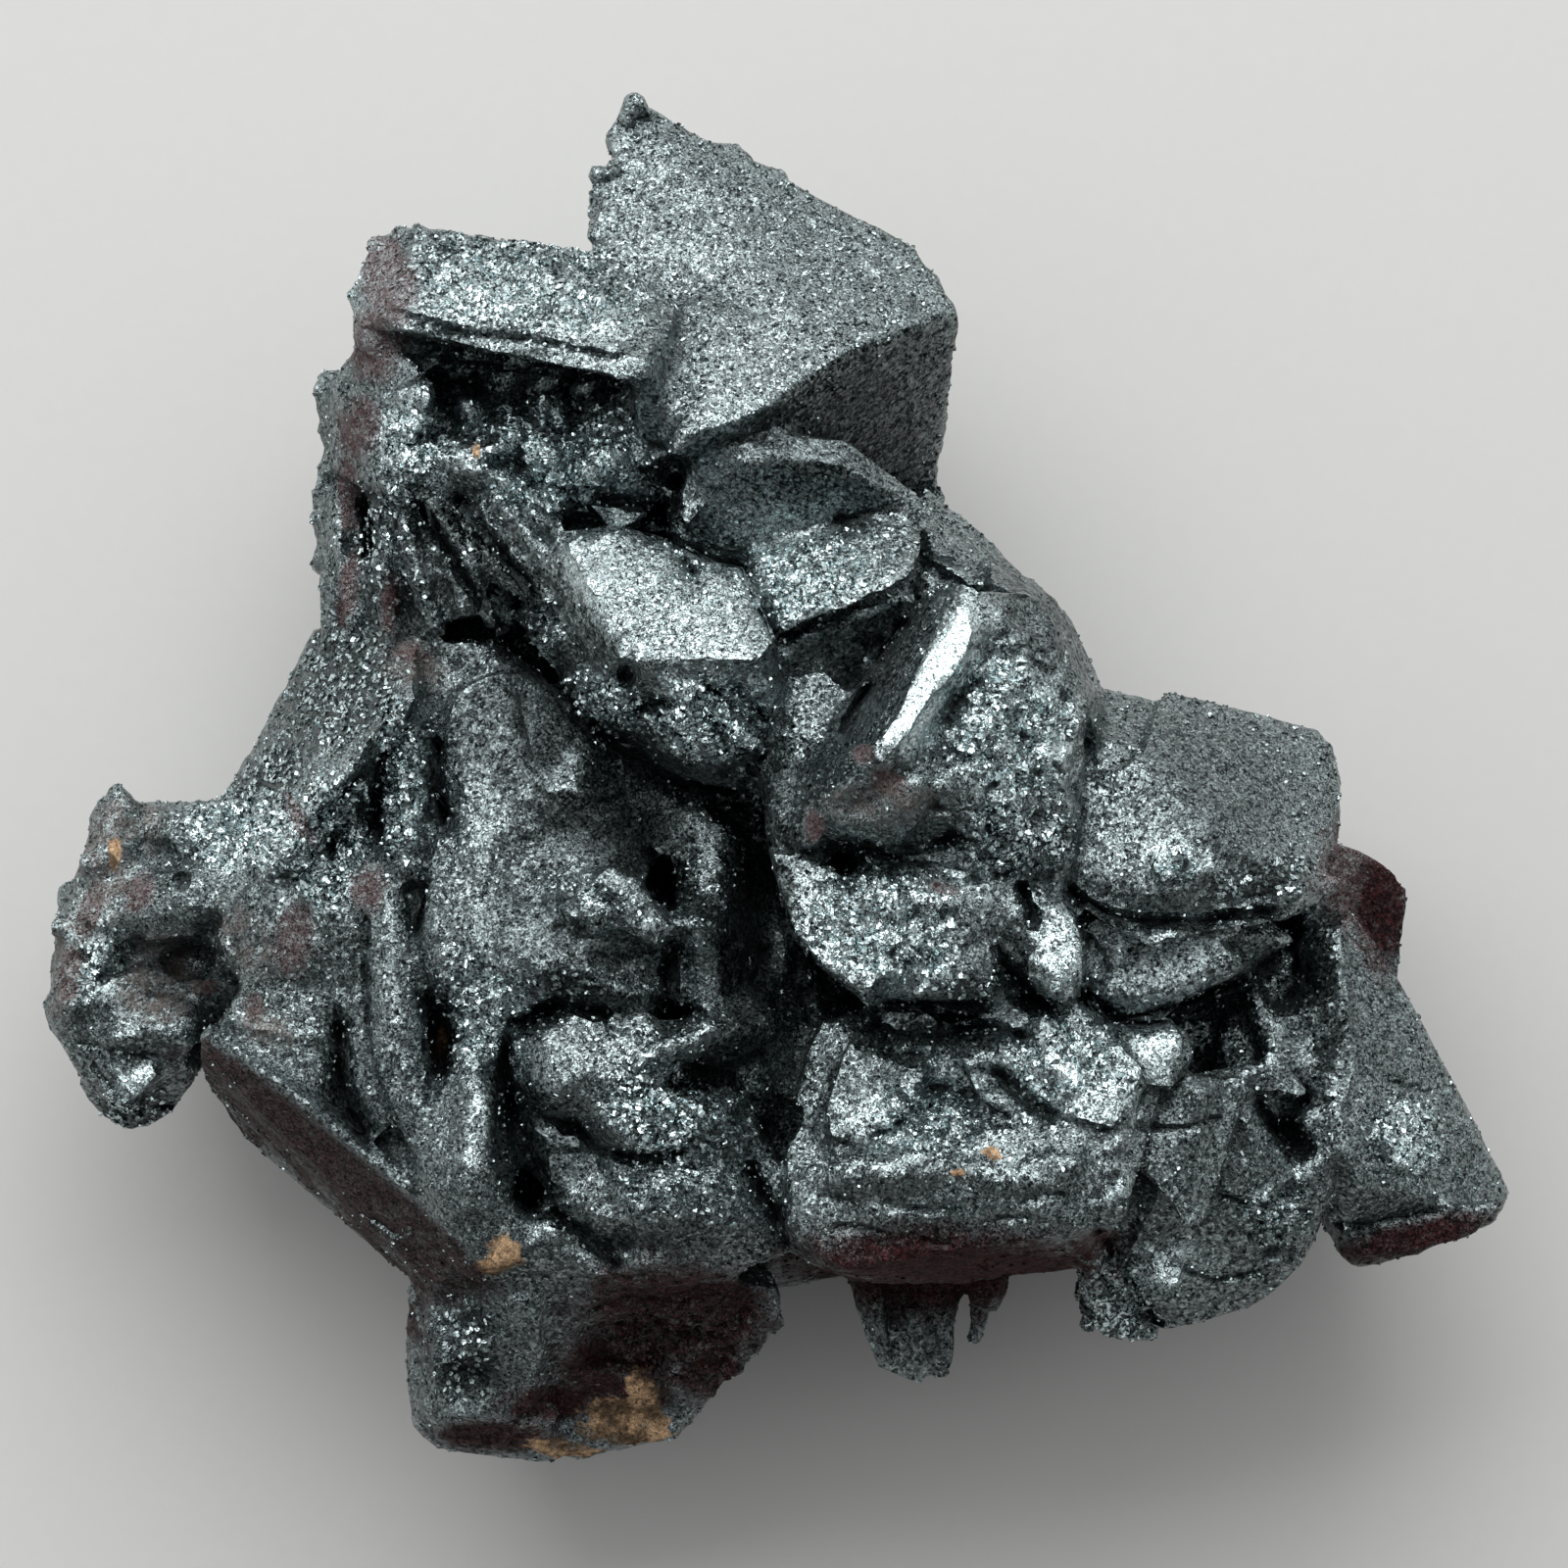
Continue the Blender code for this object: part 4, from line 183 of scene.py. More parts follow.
# Ribs and folds: frame position, height and radius in millimetres, from end to end.
RIBS = grouped(4, """
    398 900 39.2 1.2 398 960 40.2 2 402 1030 40.8 2.5 410 1090 40.8 2.5 428 1150 40.4 2 448 1200 41 1.2,
    470 1066 41.2 1 486 1110 42.6 2 480 1170 43.2 2.2 486 1236 42.4 1.7,
    370 1000 38.6 0.7 364 1060 38.6 1 370 1110 38.4 1.1 392 1158 38.2 0.8,
    412 752 40.8 0.9 420 800 41.2 1.3 414 850 40.6 1.3 414 900 39.8 1.2,
    396 778 41 0.5 402 824 40.2 0.7 396 872 39.4 0.7 404 905 38.8 0.5,
    438 742 39.6 0.6 434 790 39.8 0.9 440 850 39.4 0.9 430 905 38.6 0.7,
    452 850 40.4 0.7 444 900 40.6 1 446 960 41.4 1.2,
    692 970 42 0.6 698 1000 41 0.8 692 1030 41.5 0.6,
    640 1230 0.6 1.2 690 1210 0.8 1.3 740 1196 0.6 1,
    540 1270 0.5 1.2 580 1250 0.7 1.4 590 1220 0.4 1,
    640 1292 0.4 0.9 690 1280 0.6 1.1 740 1270 0.4 0.9,
    436 508 41.6 0.7 462 556 41.9 1.1 486 600 41.6 1 504 644 40.4 0.6,
    470 512 43 0.7 506 552 43.8 1 545 596 44.8 1.1 572 640 43.8 0.7,
    500 505 43.8 0.6 540 545 44.6 0.9 570 590 46 0.8,
    380 520 37.2 0.7 388 570 37.8 1 392 620 37.2 0.9 398 664 36.6 0.6,
    412 515 38.8 0.6 420 570 39.2 1 436 624 39 0.9 450 650 38 0.6,
    448 532 40.6 0.6 462 580 40.6 0.9 478 630 39.6 0.7,
    345 540 32.4 0.7 352 590 33.6 0.9 362 640 34.4 0.8,
    632 682 52 0.6 646 712 52.4 0.7 668 732 52.2 0.6,
    410 724 0.5 0.4 366 780 0.6 0.45 320 830 0.5 0.4 280 872 0.3 0.3,
    356 915 37.5 0.9 354 980 38 1.1 350 1046 38 0.7,
    1110 1276 0.3 0.8 1118 1320 0.6 1.2 1140 1360 0.4 1,
    116 836 0.1 0.8 106 866 0.4 1.2 98 900 0.4 1.1,
    140 812 0.3 0.8 146 850 0.2 0.7,
    150 955 0.6 0.7 180 944 0.8 0.8 205 950 0.8 0.7,
    110 1000 0.4 0.5 140 986 0.6 0.6 164 990 0.5 0.5,
    225 950 0.2 0.5 240 985 0.8 0.7 236 1015 0.5 0.5,
    70 1020 0.2 1 84 1044 0.5 1.1 80 1066 0.2 0.8,
    888 1300 18.5 0.9 898 1350 18 0.9 908 1396 16.5 0.6,
    1000 1300 18.5 1 1004 1340 18 0.9 992 1370 16.5 0.8,
    930 1330 18.8 1 940 1380 17.5 0.9 938 1412 15.8 0.6
""")

# Rounded knobs: frame position, height of the middle, and half sizes in millimetres.
KNOBS = table("""
    478 366 31 3 2 2.2, 520 382 31.5 3 1.8 2.2, 562 388 32 2.6 1.6 2.2, 470 466 40.6 2.3 1.4 1.6,
    512 448 40.2 0.8 2.2 2.2, 556 460 39.4 1.8 1.5 1.8, 622 455 41 1.9 1.9 2, 560 512 40.9 2.4 1.2 1.6,
    500 492 42 2.4 1 1.2, 600 498 40.2 1.5 1.2 1.4, 650 500 39.5 1.2 1.5 1.4, 480 420 36 1.5 1.2 1.6,
    560 425 37.2 2.2 1 1.5, 630 425 40.2 1.6 1.3 1.4, 600 395 34.5 1.6 1 1.6, 430 402 42.2 1.2 1.1 1.1,
    410 436 40.8 1.3 1.1 1, 426 470 40.6 1.6 1.4 1.2, 648 108 0 1 1 1, 640 122 0 0.7 0.7 0.8,
    630 150 0 0.7 0.8 0.8, 622 178 0 0.6 0.7 0.8, 612 200 -0.4 0.9 0.8 0.9, 606 216 -0.6 0.6 0.6 0.7,
    609 240 -0.4 0.9 0.7 0.9, 616 256 -0.2 0.6 0.6 0.6, 660 118 0 0.7 0.6 0.7, 330 400 -0.8 0.9 1 1,
    326 386 -1 0.6 0.6 0.7, 336 478 -0.6 0.8 0.6 0.9, 328 530 -0.6 0.8 1 0.9, 332 596 -0.6 0.6 0.9 0.8,
    362 302 -0.8 0.9 0.8 0.9, 358 316 -1 0.6 0.7 0.7, 386 250 -0.4 1 0.8 0.9, 408 238 -0.2 0.8 0.6 0.8,
    428 236 -0.2 0.9 0.6 0.8, 452 234 -0.2 0.8 0.5 0.7, 345 352 -0.8 0.6 0.8 0.8, 124 824 -0.9 2 1.2 1.4,
    96 880 0.2 1 1.4 1, 104 964 0.2 1.6 1.4 0.9, 84 1000 0 1.2 1 0.9, 72 1024 0.2 1.3 1.3 1,
    66 948 -0.2 0.9 1.3 1, 128 1060 0.2 1.6 0.9 0.8, 270 690 -0.4 0.6 0.5 0.6, 288 662 -0.4 0.5 0.6 0.6,
    424 1330 -0.4 0.7 1 0.8, 424 1404 -0.4 0.7 0.9 0.8, 432 1360 -0.4 0.5 0.6 0.6, 790 1350 -0.4 0.7 0.9 0.8,
    770 1390 -0.4 0.8 0.7 0.8, 740 1416 -0.4 0.7 0.6 0.7, 1110 1352 -0.4 0.7 0.6 0.7,
    1150 1366 -0.4 0.8 0.6 0.7, 1104 1310 -0.4 0.5 0.7 0.7, 896 1408 -0.4 0.7 0.7 0.8,
    936 1416 -0.4 0.8 0.7 0.8, 1000 1340 -0.2 0.9 0.9 0.9, 960 800 0.1 1.2 0.8 0.6, 946 860 0.1 1.4 0.6 0.6,
    998 850 0.2 1.6 0.6 0.6, 1190 880 0 1.6 1 0.5, 1220 886 0 1.1 0.8 0.5, 1452 1146 0 1.5 0.7 0.5,
    1420 1190 0 1.2 0.8 0.5, 944 1146 0.1 1.1 0.7 0.6, 916 1124 0.1 0.7 0.9 0.6, 976 1142 0.1 1.3 0.6 0.6,
    1052 1048 0.1 1.6 0.7 0.5, 860 1098 0.1 1.1 1.4 0.6
""")

# Flat crystal faces: rise over the surface, lean to x and y (nan to lie as the surface does), and
# the corners' frame positions.
FACETS = table("""
    0.5 nan nan 577 556 592 543 655 543 700 566 757 579 774 618 792 652 770 676 655 673 628 640 600 600,
    0.6 -0.04 0.24 985 614 970 640 950 660 934 700 905 745 887 769 898 780 925 752 946 716 970 692 988 664
    994 638,
    1.1 0 0.22 785 868 842 880 870 906 900 878 985 878 998 892 944 908 918 938 904 985 882 1016 846 992 815
    950 797 915,
    0.9 0.05 0.12 970 945 1000 942 1020 965 1017 984 1000 1018 960 1020 930 1014 955 990 966 965,
    0.9 0.12 0.06 1052 926 1085 918 1105 960 1103 1018 1070 1022 1046 990 1050 950,
    0.7 0 0.24 1012 1008 1026 1000 1054 1040 1046 1048 1000 1040 998 1026,
    1.2 -0.03 0.16 1022 1050 1056 1046 1104 1018 1136 1058 1166 1092 1150 1130 1134 1150 1090 1140 1060 1130
    1034 1108 1014 1084,
    0.55 -0.02 0.22 1142 1054 1150 1043 1194 1040 1208 1062 1204 1082 1186 1096 1160 1102 1148 1078,
    0.9 -0.1 0.2 1158 1104 1168 1106 1154 1160 1140 1196 1128 1198 1126 1172 1146 1140,
    1 0.06 0.02 1172 1106 1200 1097 1268 1100 1274 1112 1256 1160 1240 1212 1226 1246 1210 1252 1196 1226
    1160 1190 1152 1160,
    0.8 0.02 0.1 1120 1252 1152 1246 1196 1262 1206 1290 1200 1330 1168 1334 1136 1296,
    0.9 0.06 0.16 1296 1071 1326 1104 1334 1118 1296 1112 1282 1128 1270 1156 1264 1130 1280 1092,
    0.7 -0.06 0.26 106 1118 126 1092 155 1085 162 1098 132 1129,
    0.5 0.05 0.18 98 1062 112 1046 148 1065 146 1077 112 1075,
    0.6 -0.05 0.14 852 1104 896 1104 903 1146 880 1164 848 1160 842 1132,
    0.7 -0.1 0.26 868 1062 886 1086 900 1104 852 1104 858 1080,
    0.5 0 -0.08 1096 948 1140 952 1200 952 1244 958 1270 990 1196 1030 1148 1036 1112 1010,
    0.7 0 0.1 716 722 732 716 772 754 768 766 752 764,
    0.6 0 0.2 700 762 716 754 730 760 716 776 704 776,
    0.6 -0.05 0.2 446 1352 500 1350 516 1368 470 1384 440 1392,
    0.6 -0.1 -0.06 440 1396 484 1390 512 1410 500 1444 452 1446,
    0.6 0 0.12 520 1440 548 1424 570 1440 566 1452 526 1462,
    0.6 -0.14 0.2 700 484 716 480 714 520 702 536 690 526,
    0.6 0.05 0.24 940 582 978 580 980 604 948 622 934 606,
    0.6 0 0.1 640 1226 676 1214 700 1226 686 1258 650 1262,
    0.5 0.02 -0.04 556 1176 600 1176 626 1196 596 1222 560 1206,
    0.9 -0.02 0.16 594 914 620 884 650 892 672 930 694 962 668 968 636 950 602 950,
    0.45 -0.14 0.1 444 762 468 706 500 688 520 686 534 736 552 800 508 822 462 832 446 800,
    0.3 0.14 -0.02 524 686 566 704 606 738 636 778 630 806 600 818 558 806 548 786 534 736,
    0.3 0.04 -0.22 1346 1206 1400 1214 1470 1230 1534 1226 1500 1262 1440 1276 1388 1282 1356 1246
""")

# In the tables below a place on the face is an ellipse: frame position of its middle, half sizes
# in millimetres, and turn in degrees, which is left out where it is nought.

# Broad mounds and hollows: an ellipse and its height in millimetres.
MOUNDS = table("""
    575 1090 4.4 4.4 1.3, 606 925 4 2.4 15 1.2, 650 985 3.8 2.4 10 -1.5, 645 862 5 2.6 -10 -1.2,
    776 960 2.4 7 10 -1.6, 722 970 2 6.5 1.1, 700 1062 5.5 1.9 -22 1.3, 728 1094 3.4 2 -15 -1,
    650 1150 5 2.4 20 0.8, 498 1090 2.6 6.5 10 0.9, 640 1266 4.4 1.8 -0.9, 690 1215 4.8 1.8 -10 0.8,
    596 806 4.4 1.3 0.7, 540 960 5 4 0.6, 560 1036 4 0.9 -20 -0.8, 400 800 2.6 4 10 0.8, 205 985 3.2 3 1.8,
    850 1010 3.4 1.6 40 -0.9, 560 320 8 3 8 0.4, 910 640 3 4.4 35 -0.9, 850 800 3.4 2.4 0.6,
    560 476 6.4 3.4 2.6, 620 480 3.4 2.6 2.2, 480 470 3.4 3 2, 940 905 9 3 -10 1, 1000 990 4.6 3 0.8,
    1080 970 2.6 5 0.7, 930 1046 5.6 1.3 8 -1.3, 960 1110 5 2.6 -0.9, 1016 1110 3 2.4 30 -0.7,
    700 716 5 2.4 30 0.9, 640 740 4 1.4 38 -0.6, 1312 1150 2.4 1.1 46 -0.6, 1440 1160 3.6 3.4 0.5,
    1200 1180 3.4 6 12 0.5, 1170 880 4.6 3.4 0.15, 1180 1300 6 3 -10 0.6, 690 1380 5 3 0.8, 560 1340 3 4 -0.8
""")

# Pits: an ellipse and its depth in millimetres.
PITS = table("""
    935 1078 1.2 0.8 1.6, 958 1112 2 0.8 2, 986 1118 1.1 0.7 1.6, 1000 1100 2.2 1.3 0.7, 643 690 0.9 1.1 3,
    180 899 0.8 0.7 1.6, 1040 1052 0.7 0.5 1.2, 860 874 1.3 1.1 2.6, 864 896 0.6 1.3 1.4,
    974 718 0.9 1.1 1.2, 880 720 0.9 2.2 0.8, 1040 796 1.2 0.5 0.8, 684 992 0.8 1.3 1.8, 681 910 0.8 1.3 2.2,
    698 1034 1.7 0.8 1.8, 458 1040 1.1 2.6 1.7, 548 1200 1 1.5 2.4, 720 1090 1.8 1 0.9, 1300 985 1.5 1.2 1.2,
    1204 884 1 0.7 0.9, 760 1140 1.1 1 1.2, 1352 1080 0.8 1.2 0.7, 630 1270 1.8 1 0.8, 140 1030 3 1.6 0.9,
    1300 1280 1.5 1 0.7
""")

# Stains and finishes, and patches of painted light: painted shade, painted highlights and painted glints, and
# places where the painted shade is lifted.
STAINS = {
    "rust": table("""
        135 912 1.2 1.7 20, 300 958 1.5 3 10, 376 906 1.3 1.9 -10, 258 1028 0.8 1.2, 308 838 0.6 2.6 -36,
        396 286 2.2 4.2 -14, 380 352 2.4 3 -16, 366 436 1.8 2.6 14, 352 600 0.8 3 10, 398 620 0.7 2.4,
        1010 1290 9 1.2 4, 1120 1268 2 1.2, 420 668 1.8 0.8 20, 905 798 1.6 1 20, 960 905 1.2 0.5 12,
        1400 890 4.4 4.6, 200 1010 1.2 0.6, 880 770 0.8 0.8, 60 1000 1 2.6 10, 830 842 0.8 1.4,
        84 930 1 2.6 20, 352 500 0.9 3
    """),
    "maroon": table("""
        690 1350 8 5 8, 630 1404 5.4 3.8, 960 1302 13 4.2 1, 724 1408 3.4 2.6, 500 1476 5 1.4,
        740 1340 3.4 3.4, 1420 930 2.4 5, 640 1440 3.4 1.6, 1450 1270 7 1.5 -14, 560 1440 4 1.6
    """),
    "clay": table("""
        516 1278 1.2 1.5 -30, 505 1290 1.6 0.8, 575 1494 3.4 0.9 14, 654 1440 1.4 2.8 -14, 636 1464 3.8 2 10,
        1010 1172 0.9 0.5 20, 975 1192 0.7 0.4, 488 462 0.35 0.7, 448 1064 0.5 1.6 10, 108 870 0.5 1.8
    """),
    "crust": table("""
        96 880 2.4 5.4, 56 990 1.6 4.4 10, 150 1010 3.4 2.6, 130 840 2.6 2.4, 250 960 1.8 3.4 -30,
        270 1050 2.6 1.4 30, 160 970 2 1.4, 900 820 4.6 1.6, 420 680 3 1.8 30
    """),
    "satin": table("""
        545 945 5 2.6, 1180 985 4.4 2.2, 530 740 5.6 5.6, 620 850 6 3.4 20, 1330 1110 2 3 -30,
        890 440 4 5.4 -10, 790 500 4.4 1.4, 792 458 6 1.4 4, 660 770 5 1.3 30, 1210 1130 2.8 3.4 10,
        470 1410 3.4 3.4, 575 1186 2.4 1.6, 776 950 2.2 8 10, 890 700 1.4 5 35, 870 650 4.6 1.8 -24,
        1060 640 3 7 -32, 160 1020 4 2.6, 735 1095 2.2 1.2 10, 690 1262 3.4 1.4, 1240 800 6 4.6 20,
        660 850 3.8 3, 1390 1040 3.4 6 20, 1006 1104 2.4 2 30, 1050 1050 1.6 1, 985 965 1.8 2.2,
        950 1350 6 5, 330 1160 8 4 40
    """),
    # Rough glittering patches, with more platelets and a rougher relief; their colour is also painted
    # lighter, which lifts the painted shade.
    "sparkle": table("""
        1030 740 4.6 6.6 10, 900 940 6.6 4.2 10, 1090 1080 5 3.4, 540 290 10 4 6, 420 460 3.4 4,
        560 440 6 2.6, 824 590 5 2.8 -14, 78 985 1.6 3.6 10, 620 470 3.6 2.8, 550 505 5.4 1.8 -10,
        500 1010 4 4.4, 690 1380 6.4 4, 670 1120 4.4 3.8, 330 870 2.6 5.6, 250 850 5.4 3.4, 560 640 1.6 3,
        410 800 1.6 6, 720 730 4.6 3.6, 1140 1330 2.4 4.4 -20, 100 970 2.4 2, 690 1210 5 2.6, 700 1370 6 3.4,
        960 1140 5 2.4, 1030 860 5 2.4, 1440 1165 3.4 3.4, 1196 884 2.2 1.7, 620 712 3.6 1.6 24,
        590 930 3.6 2.6, 1300 1240 3 2.6
    """),
    # Painted highlights: patches painted brighter, their normals leaning towards the window.
    "silver": table("""
        686 606 8.4 4.8 18, 862 940 6.4 3.8 12, 1200 874 3 1.2 8, 1086 1090 5.6 3.8 20, 915 1130 4 3,
        488 1150 1 3 10, 1036 748 5 6.6 -8, 824 590 7 3.8 -14, 500 302 4.4 2.6 6, 610 332 3 1.8 6,
        930 985 4 2.4, 962 690 2.4 7.4 30, 560 470 8.4 3.4 4, 716 742 4.4 3 36, 950 906 6 1.4, 1080 970 2 3,
        420 440 3 3.4, 1200 1290 4 2, 500 1040 3 3, 326 862 4.4 7 20, 960 905 4.4 1.4, 986 1092 4.4 2.6,
        1182 986 5 2.6, 80 960 1.8 5 12, 380 306 2.8 5.4 -14, 1444 1166 2.2 2.8 -20, 1040 1060 3 2.4,
        760 700 3 1.6 30, 410 800 1.8 6, 250 850 5 3
    """),
    # Fleck patches, with more and larger platelets; the platelets in them are painted brighter as a painted
    # glint and the skin under them darker.
    "fleck": table("""
        352 700 4.6 5.4 20, 330 850 4 5.4 24, 408 800 2 7, 694 1142 5.4 3 8, 276 800 2.4 4 20, 400 560 3 5.4,
        590 1000 2.4 1.2, 720 750 3 2.4 30, 1040 850 4 2.4, 980 1000 3.6 1.6, 1140 1330 3 4.4 -20,
        470 1380 3 4, 1290 900 4 1.6 -20, 620 720 4 2.4 24, 120 1150 4 3
    """),
    # Painted shade: patches painted darker where faces turn away from the window.
    "dusk": table("""
        880 420 9 9, 940 1290 14 3.4, 620 1000 5.6 2.6 8, 1430 1262 8 1.8 -10, 610 786 5 3.6 30,
        790 960 4 9 8, 930 660 2 5 30
    """),
    # Mirror-smooth faces, smoother and with fewer platelets; their tone is also lifted as a painted
    # highlight.
    "mirror": table("""
        944 706 1.7 6.8 31, 1078 1088 2.4 1.2 10, 980 646 0.9 2.4 22, 1174 1068 2.2 1.7,
        132 1108 2.2 1.2 -30, 1145 1160 0.6 3.4 16, 434 420 0.7 1.1 30, 876 1108 1.2 0.8, 716 766 0.8 0.6,
        787 640 0.6 0.6, 606 584 2.2 3 -34, 504 456 0.6 1.4, 1080 762 1.2 0.8, 456 706 0.5 0.8 40,
        590 700 1.6 0.5 20, 410 806 0.4 1, 966 942 0.5 0.7 30, 366 760 0.5 3.6 38
    """),
}

# Places where the relief is nearly flat.
FLAT_PLACES = table("""
    780 320 12 8 20, 690 210 5 6, 900 420 5 5, 690 610 8 5 20, 560 300 10 4 8, 1260 790 9 6 20, 1150 860 5 4,
    1170 985 6 3.4, 1430 1130 6 10 30, 1400 1020 3 6 10, 840 570 6 4 -10, 1250 700 9 3 14, 330 1160 10 5 40,
    1215 1150 4 7 10, 540 750 7 6, 970 1230 12 2, 940 700 2 8 28, 1090 1080 6 4, 880 1124 2.4 3.4
""")


def length_setting(name, description, value):
    """A length in the panel, from its value in millimetres."""
    return FloatProperty(name=name, description=description, default=value * MM, unit="LENGTH")


def colour_setting(name, description, value):
    """A colour in the panel."""
    return FloatVectorProperty(
        name=name, description=description, subtype="COLOR", default=value, min=0.0, max=1.0)


class ClusterSizes(bpy.types.PropertyGroup):
    """Sizes of the relief and of the crystals that cover the cluster."""
    skin_grain: length_setting("Skin grain", "Distance between points of the surface before thinning", 0.37)
    skin_triangles: IntProperty(
        name="Skin triangles", description="Triangles kept in the finished surface", default=196000)
    lumps: length_setting("Lumps", "Height of the broad unevenness", 0.55)
    chips: length_setting("Chips", "Height of the small chipped plates", 0.50)
    crack_depth: length_setting("Crack depth", "Depth of the main cracks", 2.0)
    fine_depth: length_setting("Line depth", "Depth of the fine growth lines", 0.5)
    platelet: length_setting("Platelet", "Width of one platelet", 0.46)


class ClusterColours(bpy.types.PropertyGroup):
    """Colours of the metal and of what stains it, and the near black of its seams and painted shade."""
    metal: colour_setting("Metal", "Reflected colour of clean hematite", (0.41, 0.475, 0.485))
    # Near black of the seams and cracks, also laid in the hollows as painted shade.
    seam_and_painted_shade: colour_setting("Crevice", "Colour between platelets and in cracks", (0.010, 0.013, 0.015))
    rust: colour_setting("Rust", "Red-brown oxide", (0.130, 0.058, 0.060))
    maroon: colour_setting("Maroon", "Dark red-brown underside", (0.044, 0.010, 0.011))
    clay: colour_setting("Clay", "Tan clay in the pits", (0.40, 0.26, 0.155))
    crust: colour_setting("Crust", "Grey-brown crust of the left lobe", (0.200, 0.165, 0.150))
    plate: colour_setting("Dull plate", "Dull brown of the plate at the lower left", (0.064, 0.034, 0.034))


class StageSettings(bpy.types.PropertyGroup):
    """The floor, the light and the camera."""
    floor_colour: colour_setting("Floor", "Colour of the paper floor", (0.84, 0.822, 0.806))
    window_power: FloatProperty(
        name="Window", description="Power of the large light above the top edge", default=9.0, unit="POWER")
    sky: FloatProperty(name="Sky", description="Strength of the even light", default=0.88)


class Wire:
    """A socket that adds, multiplies and so on like a number; each sum adds its Math node."""

    def __init__(self, board, socket):
        self.board = board
        self.socket = socket

    def __add__(self, other):
        return self.board.sum("ADD", self, other)

    __radd__ = __add__

    def __sub__(self, other):
        return self.board.sum("SUBTRACT", self, other)

    def __rsub__(self, other):
        return self.board.sum("SUBTRACT", other, self)

    def __mul__(self, other):
        return self.board.sum("MULTIPLY", self, other)

    __rmul__ = __mul__

    def step(self, start, end, low=0.0, high=1.0):
        """Runs smoothly from low at start to high at end."""
        settings = {"interpolation_type": "SMOOTHSTEP", "clamp": True}
        return self.board.out("ShaderNodeMapRange", settings, {0: self, 1: start, 2: end, 3: low, 4: high})


class Board:
    """A node tree that nodes are added to from the places of their sockets."""

    def __init__(self, tree):
        self.tree = tree

    def feed(self, node, sockets):
        """Links wires to a node's sockets, and sets the others to their values."""
        for place, value in sockets.items():
            if isinstance(value, Wire):
                self.tree.links.new(value.socket, node.inputs[place])
            else:
                node.inputs[place].default_value = value

    def node(self, kind, settings=None, sockets=None):
        made = self.tree.nodes.new(kind)
        for name, value in (settings or {}).items():
            setattr(made, name, value)
        self.feed(made, sockets or {})
        return made

    def out(self, kind, settings=None, sockets=None, output=0):
        return Wire(self, self.node(kind, settings, sockets).outputs[output])

    def sum(self, operation, first, second=0.0):
        return self.out("ShaderNodeMath", {"operation": operation}, {0: first, 1: second})

    def vector(self, operation, first, second=(0.0, 0.0, 0.0), output=0):
        return self.out("ShaderNodeVectorMath", {"operation": operation}, {0: first, 1: second}, output)

    def scaled(self, vector, scale):
        return self.out("ShaderNodeVectorMath", {"operation": "SCALE"}, {0: vector, "Scale": scale})

    def noise(self, place, size, detail=3.0, roughness=0.55, output="Fac"):
        """Noise whose features are about size across, in the units of place."""
        return self.out("ShaderNodeTexNoise", None, {
            "Vector": place, "Scale": 1.0 / size, "Detail": detail, "Roughness": roughness}, output)

    def cells(self, place, size):
        """A random colour for each cell of about size across."""
        return self.out("ShaderNodeTexVoronoi", None, {"Vector": place, "Scale": 1.0 / size}, "Color")

    def about_grey(self, colour):
        """A colour less middle grey, which makes a vector that points any way."""
        return self.vector("SUBTRACT", colour, (0.5, 0.5, 0.5))

    def wander(self, place, size, reach, detail=2.0):
        """A shift of up to reach each way that changes over about size."""
        return self.scaled(self.about_grey(self.noise(place, size, detail, 0.5, "Color")), 2.0 * reach)

    def parts(self, vector):
        """The three numbers of a vector or colour."""
        made = self.node("ShaderNodeSeparateXYZ", None, {0: vector})
        return [Wire(self, socket) for socket in made.outputs]

    def flattened(self, place):
        """A place moved down to the break."""
        return self.vector("MULTIPLY", place, (1.0, 1.0, 0.0))

    def blend(self, factor, first, second):
        """Mixes two colours."""
        settings = {"data_type": "RGBA", "clamp_factor": True}
        return self.out("ShaderNodeMix", settings, {0: factor, 6: first, 7: second}, 2)

    def reach(self, flat, px, py, half_x, half_y, turn=0.0):
        """Distance from an ellipse's middle, 1 at its rim."""
        away = self.vector("SUBTRACT", flat, (*spot(px, py), 0.0))
        if turn:
            away = self.out("ShaderNodeVectorRotate", {"rotation_type": "Z_AXIS"}, {
                "Vector": away, "Angle": math.radians(turn)})
        return self.vector("LENGTH", self.vector("DIVIDE", away, (half_x, half_y, 1.0)), output="Value")

    def nearest(self, flat, ellipses):
        """Distance to the nearest of several ellipses, 1 at its rim."""
        found = self.reach(flat, *ellipses[0])
        for ellipse in ellipses[1:]:
            found = self.sum("MINIMUM", found, self.reach(flat, *ellipse))
        return found


def deselect_all():
    if bpy.context.object and bpy.context.object.mode != "OBJECT":
        bpy.ops.object.mode_set(mode="OBJECT")
    bpy.ops.object.select_all(action="DESELECT")


def make_active(piece):
    deselect_all()
    piece.select_set(True)
    bpy.context.view_layer.objects.active = piece


def apply_all(piece):
    make_active(piece)
    for modifier in list(piece.modifiers):
        bpy.ops.object.modifier_apply(modifier=modifier.name)


def new_object(name, data):
    """An object in the scene that shows some data."""
    made = bpy.data.objects.new(name, data)
    bpy.context.scene.collection.objects.link(made)
    return made


def edit_all():
    """Starts edit mode with the whole mesh selected."""
    bpy.ops.object.mode_set(mode="EDIT")
    bpy.ops.mesh.select_all(action="SELECT")


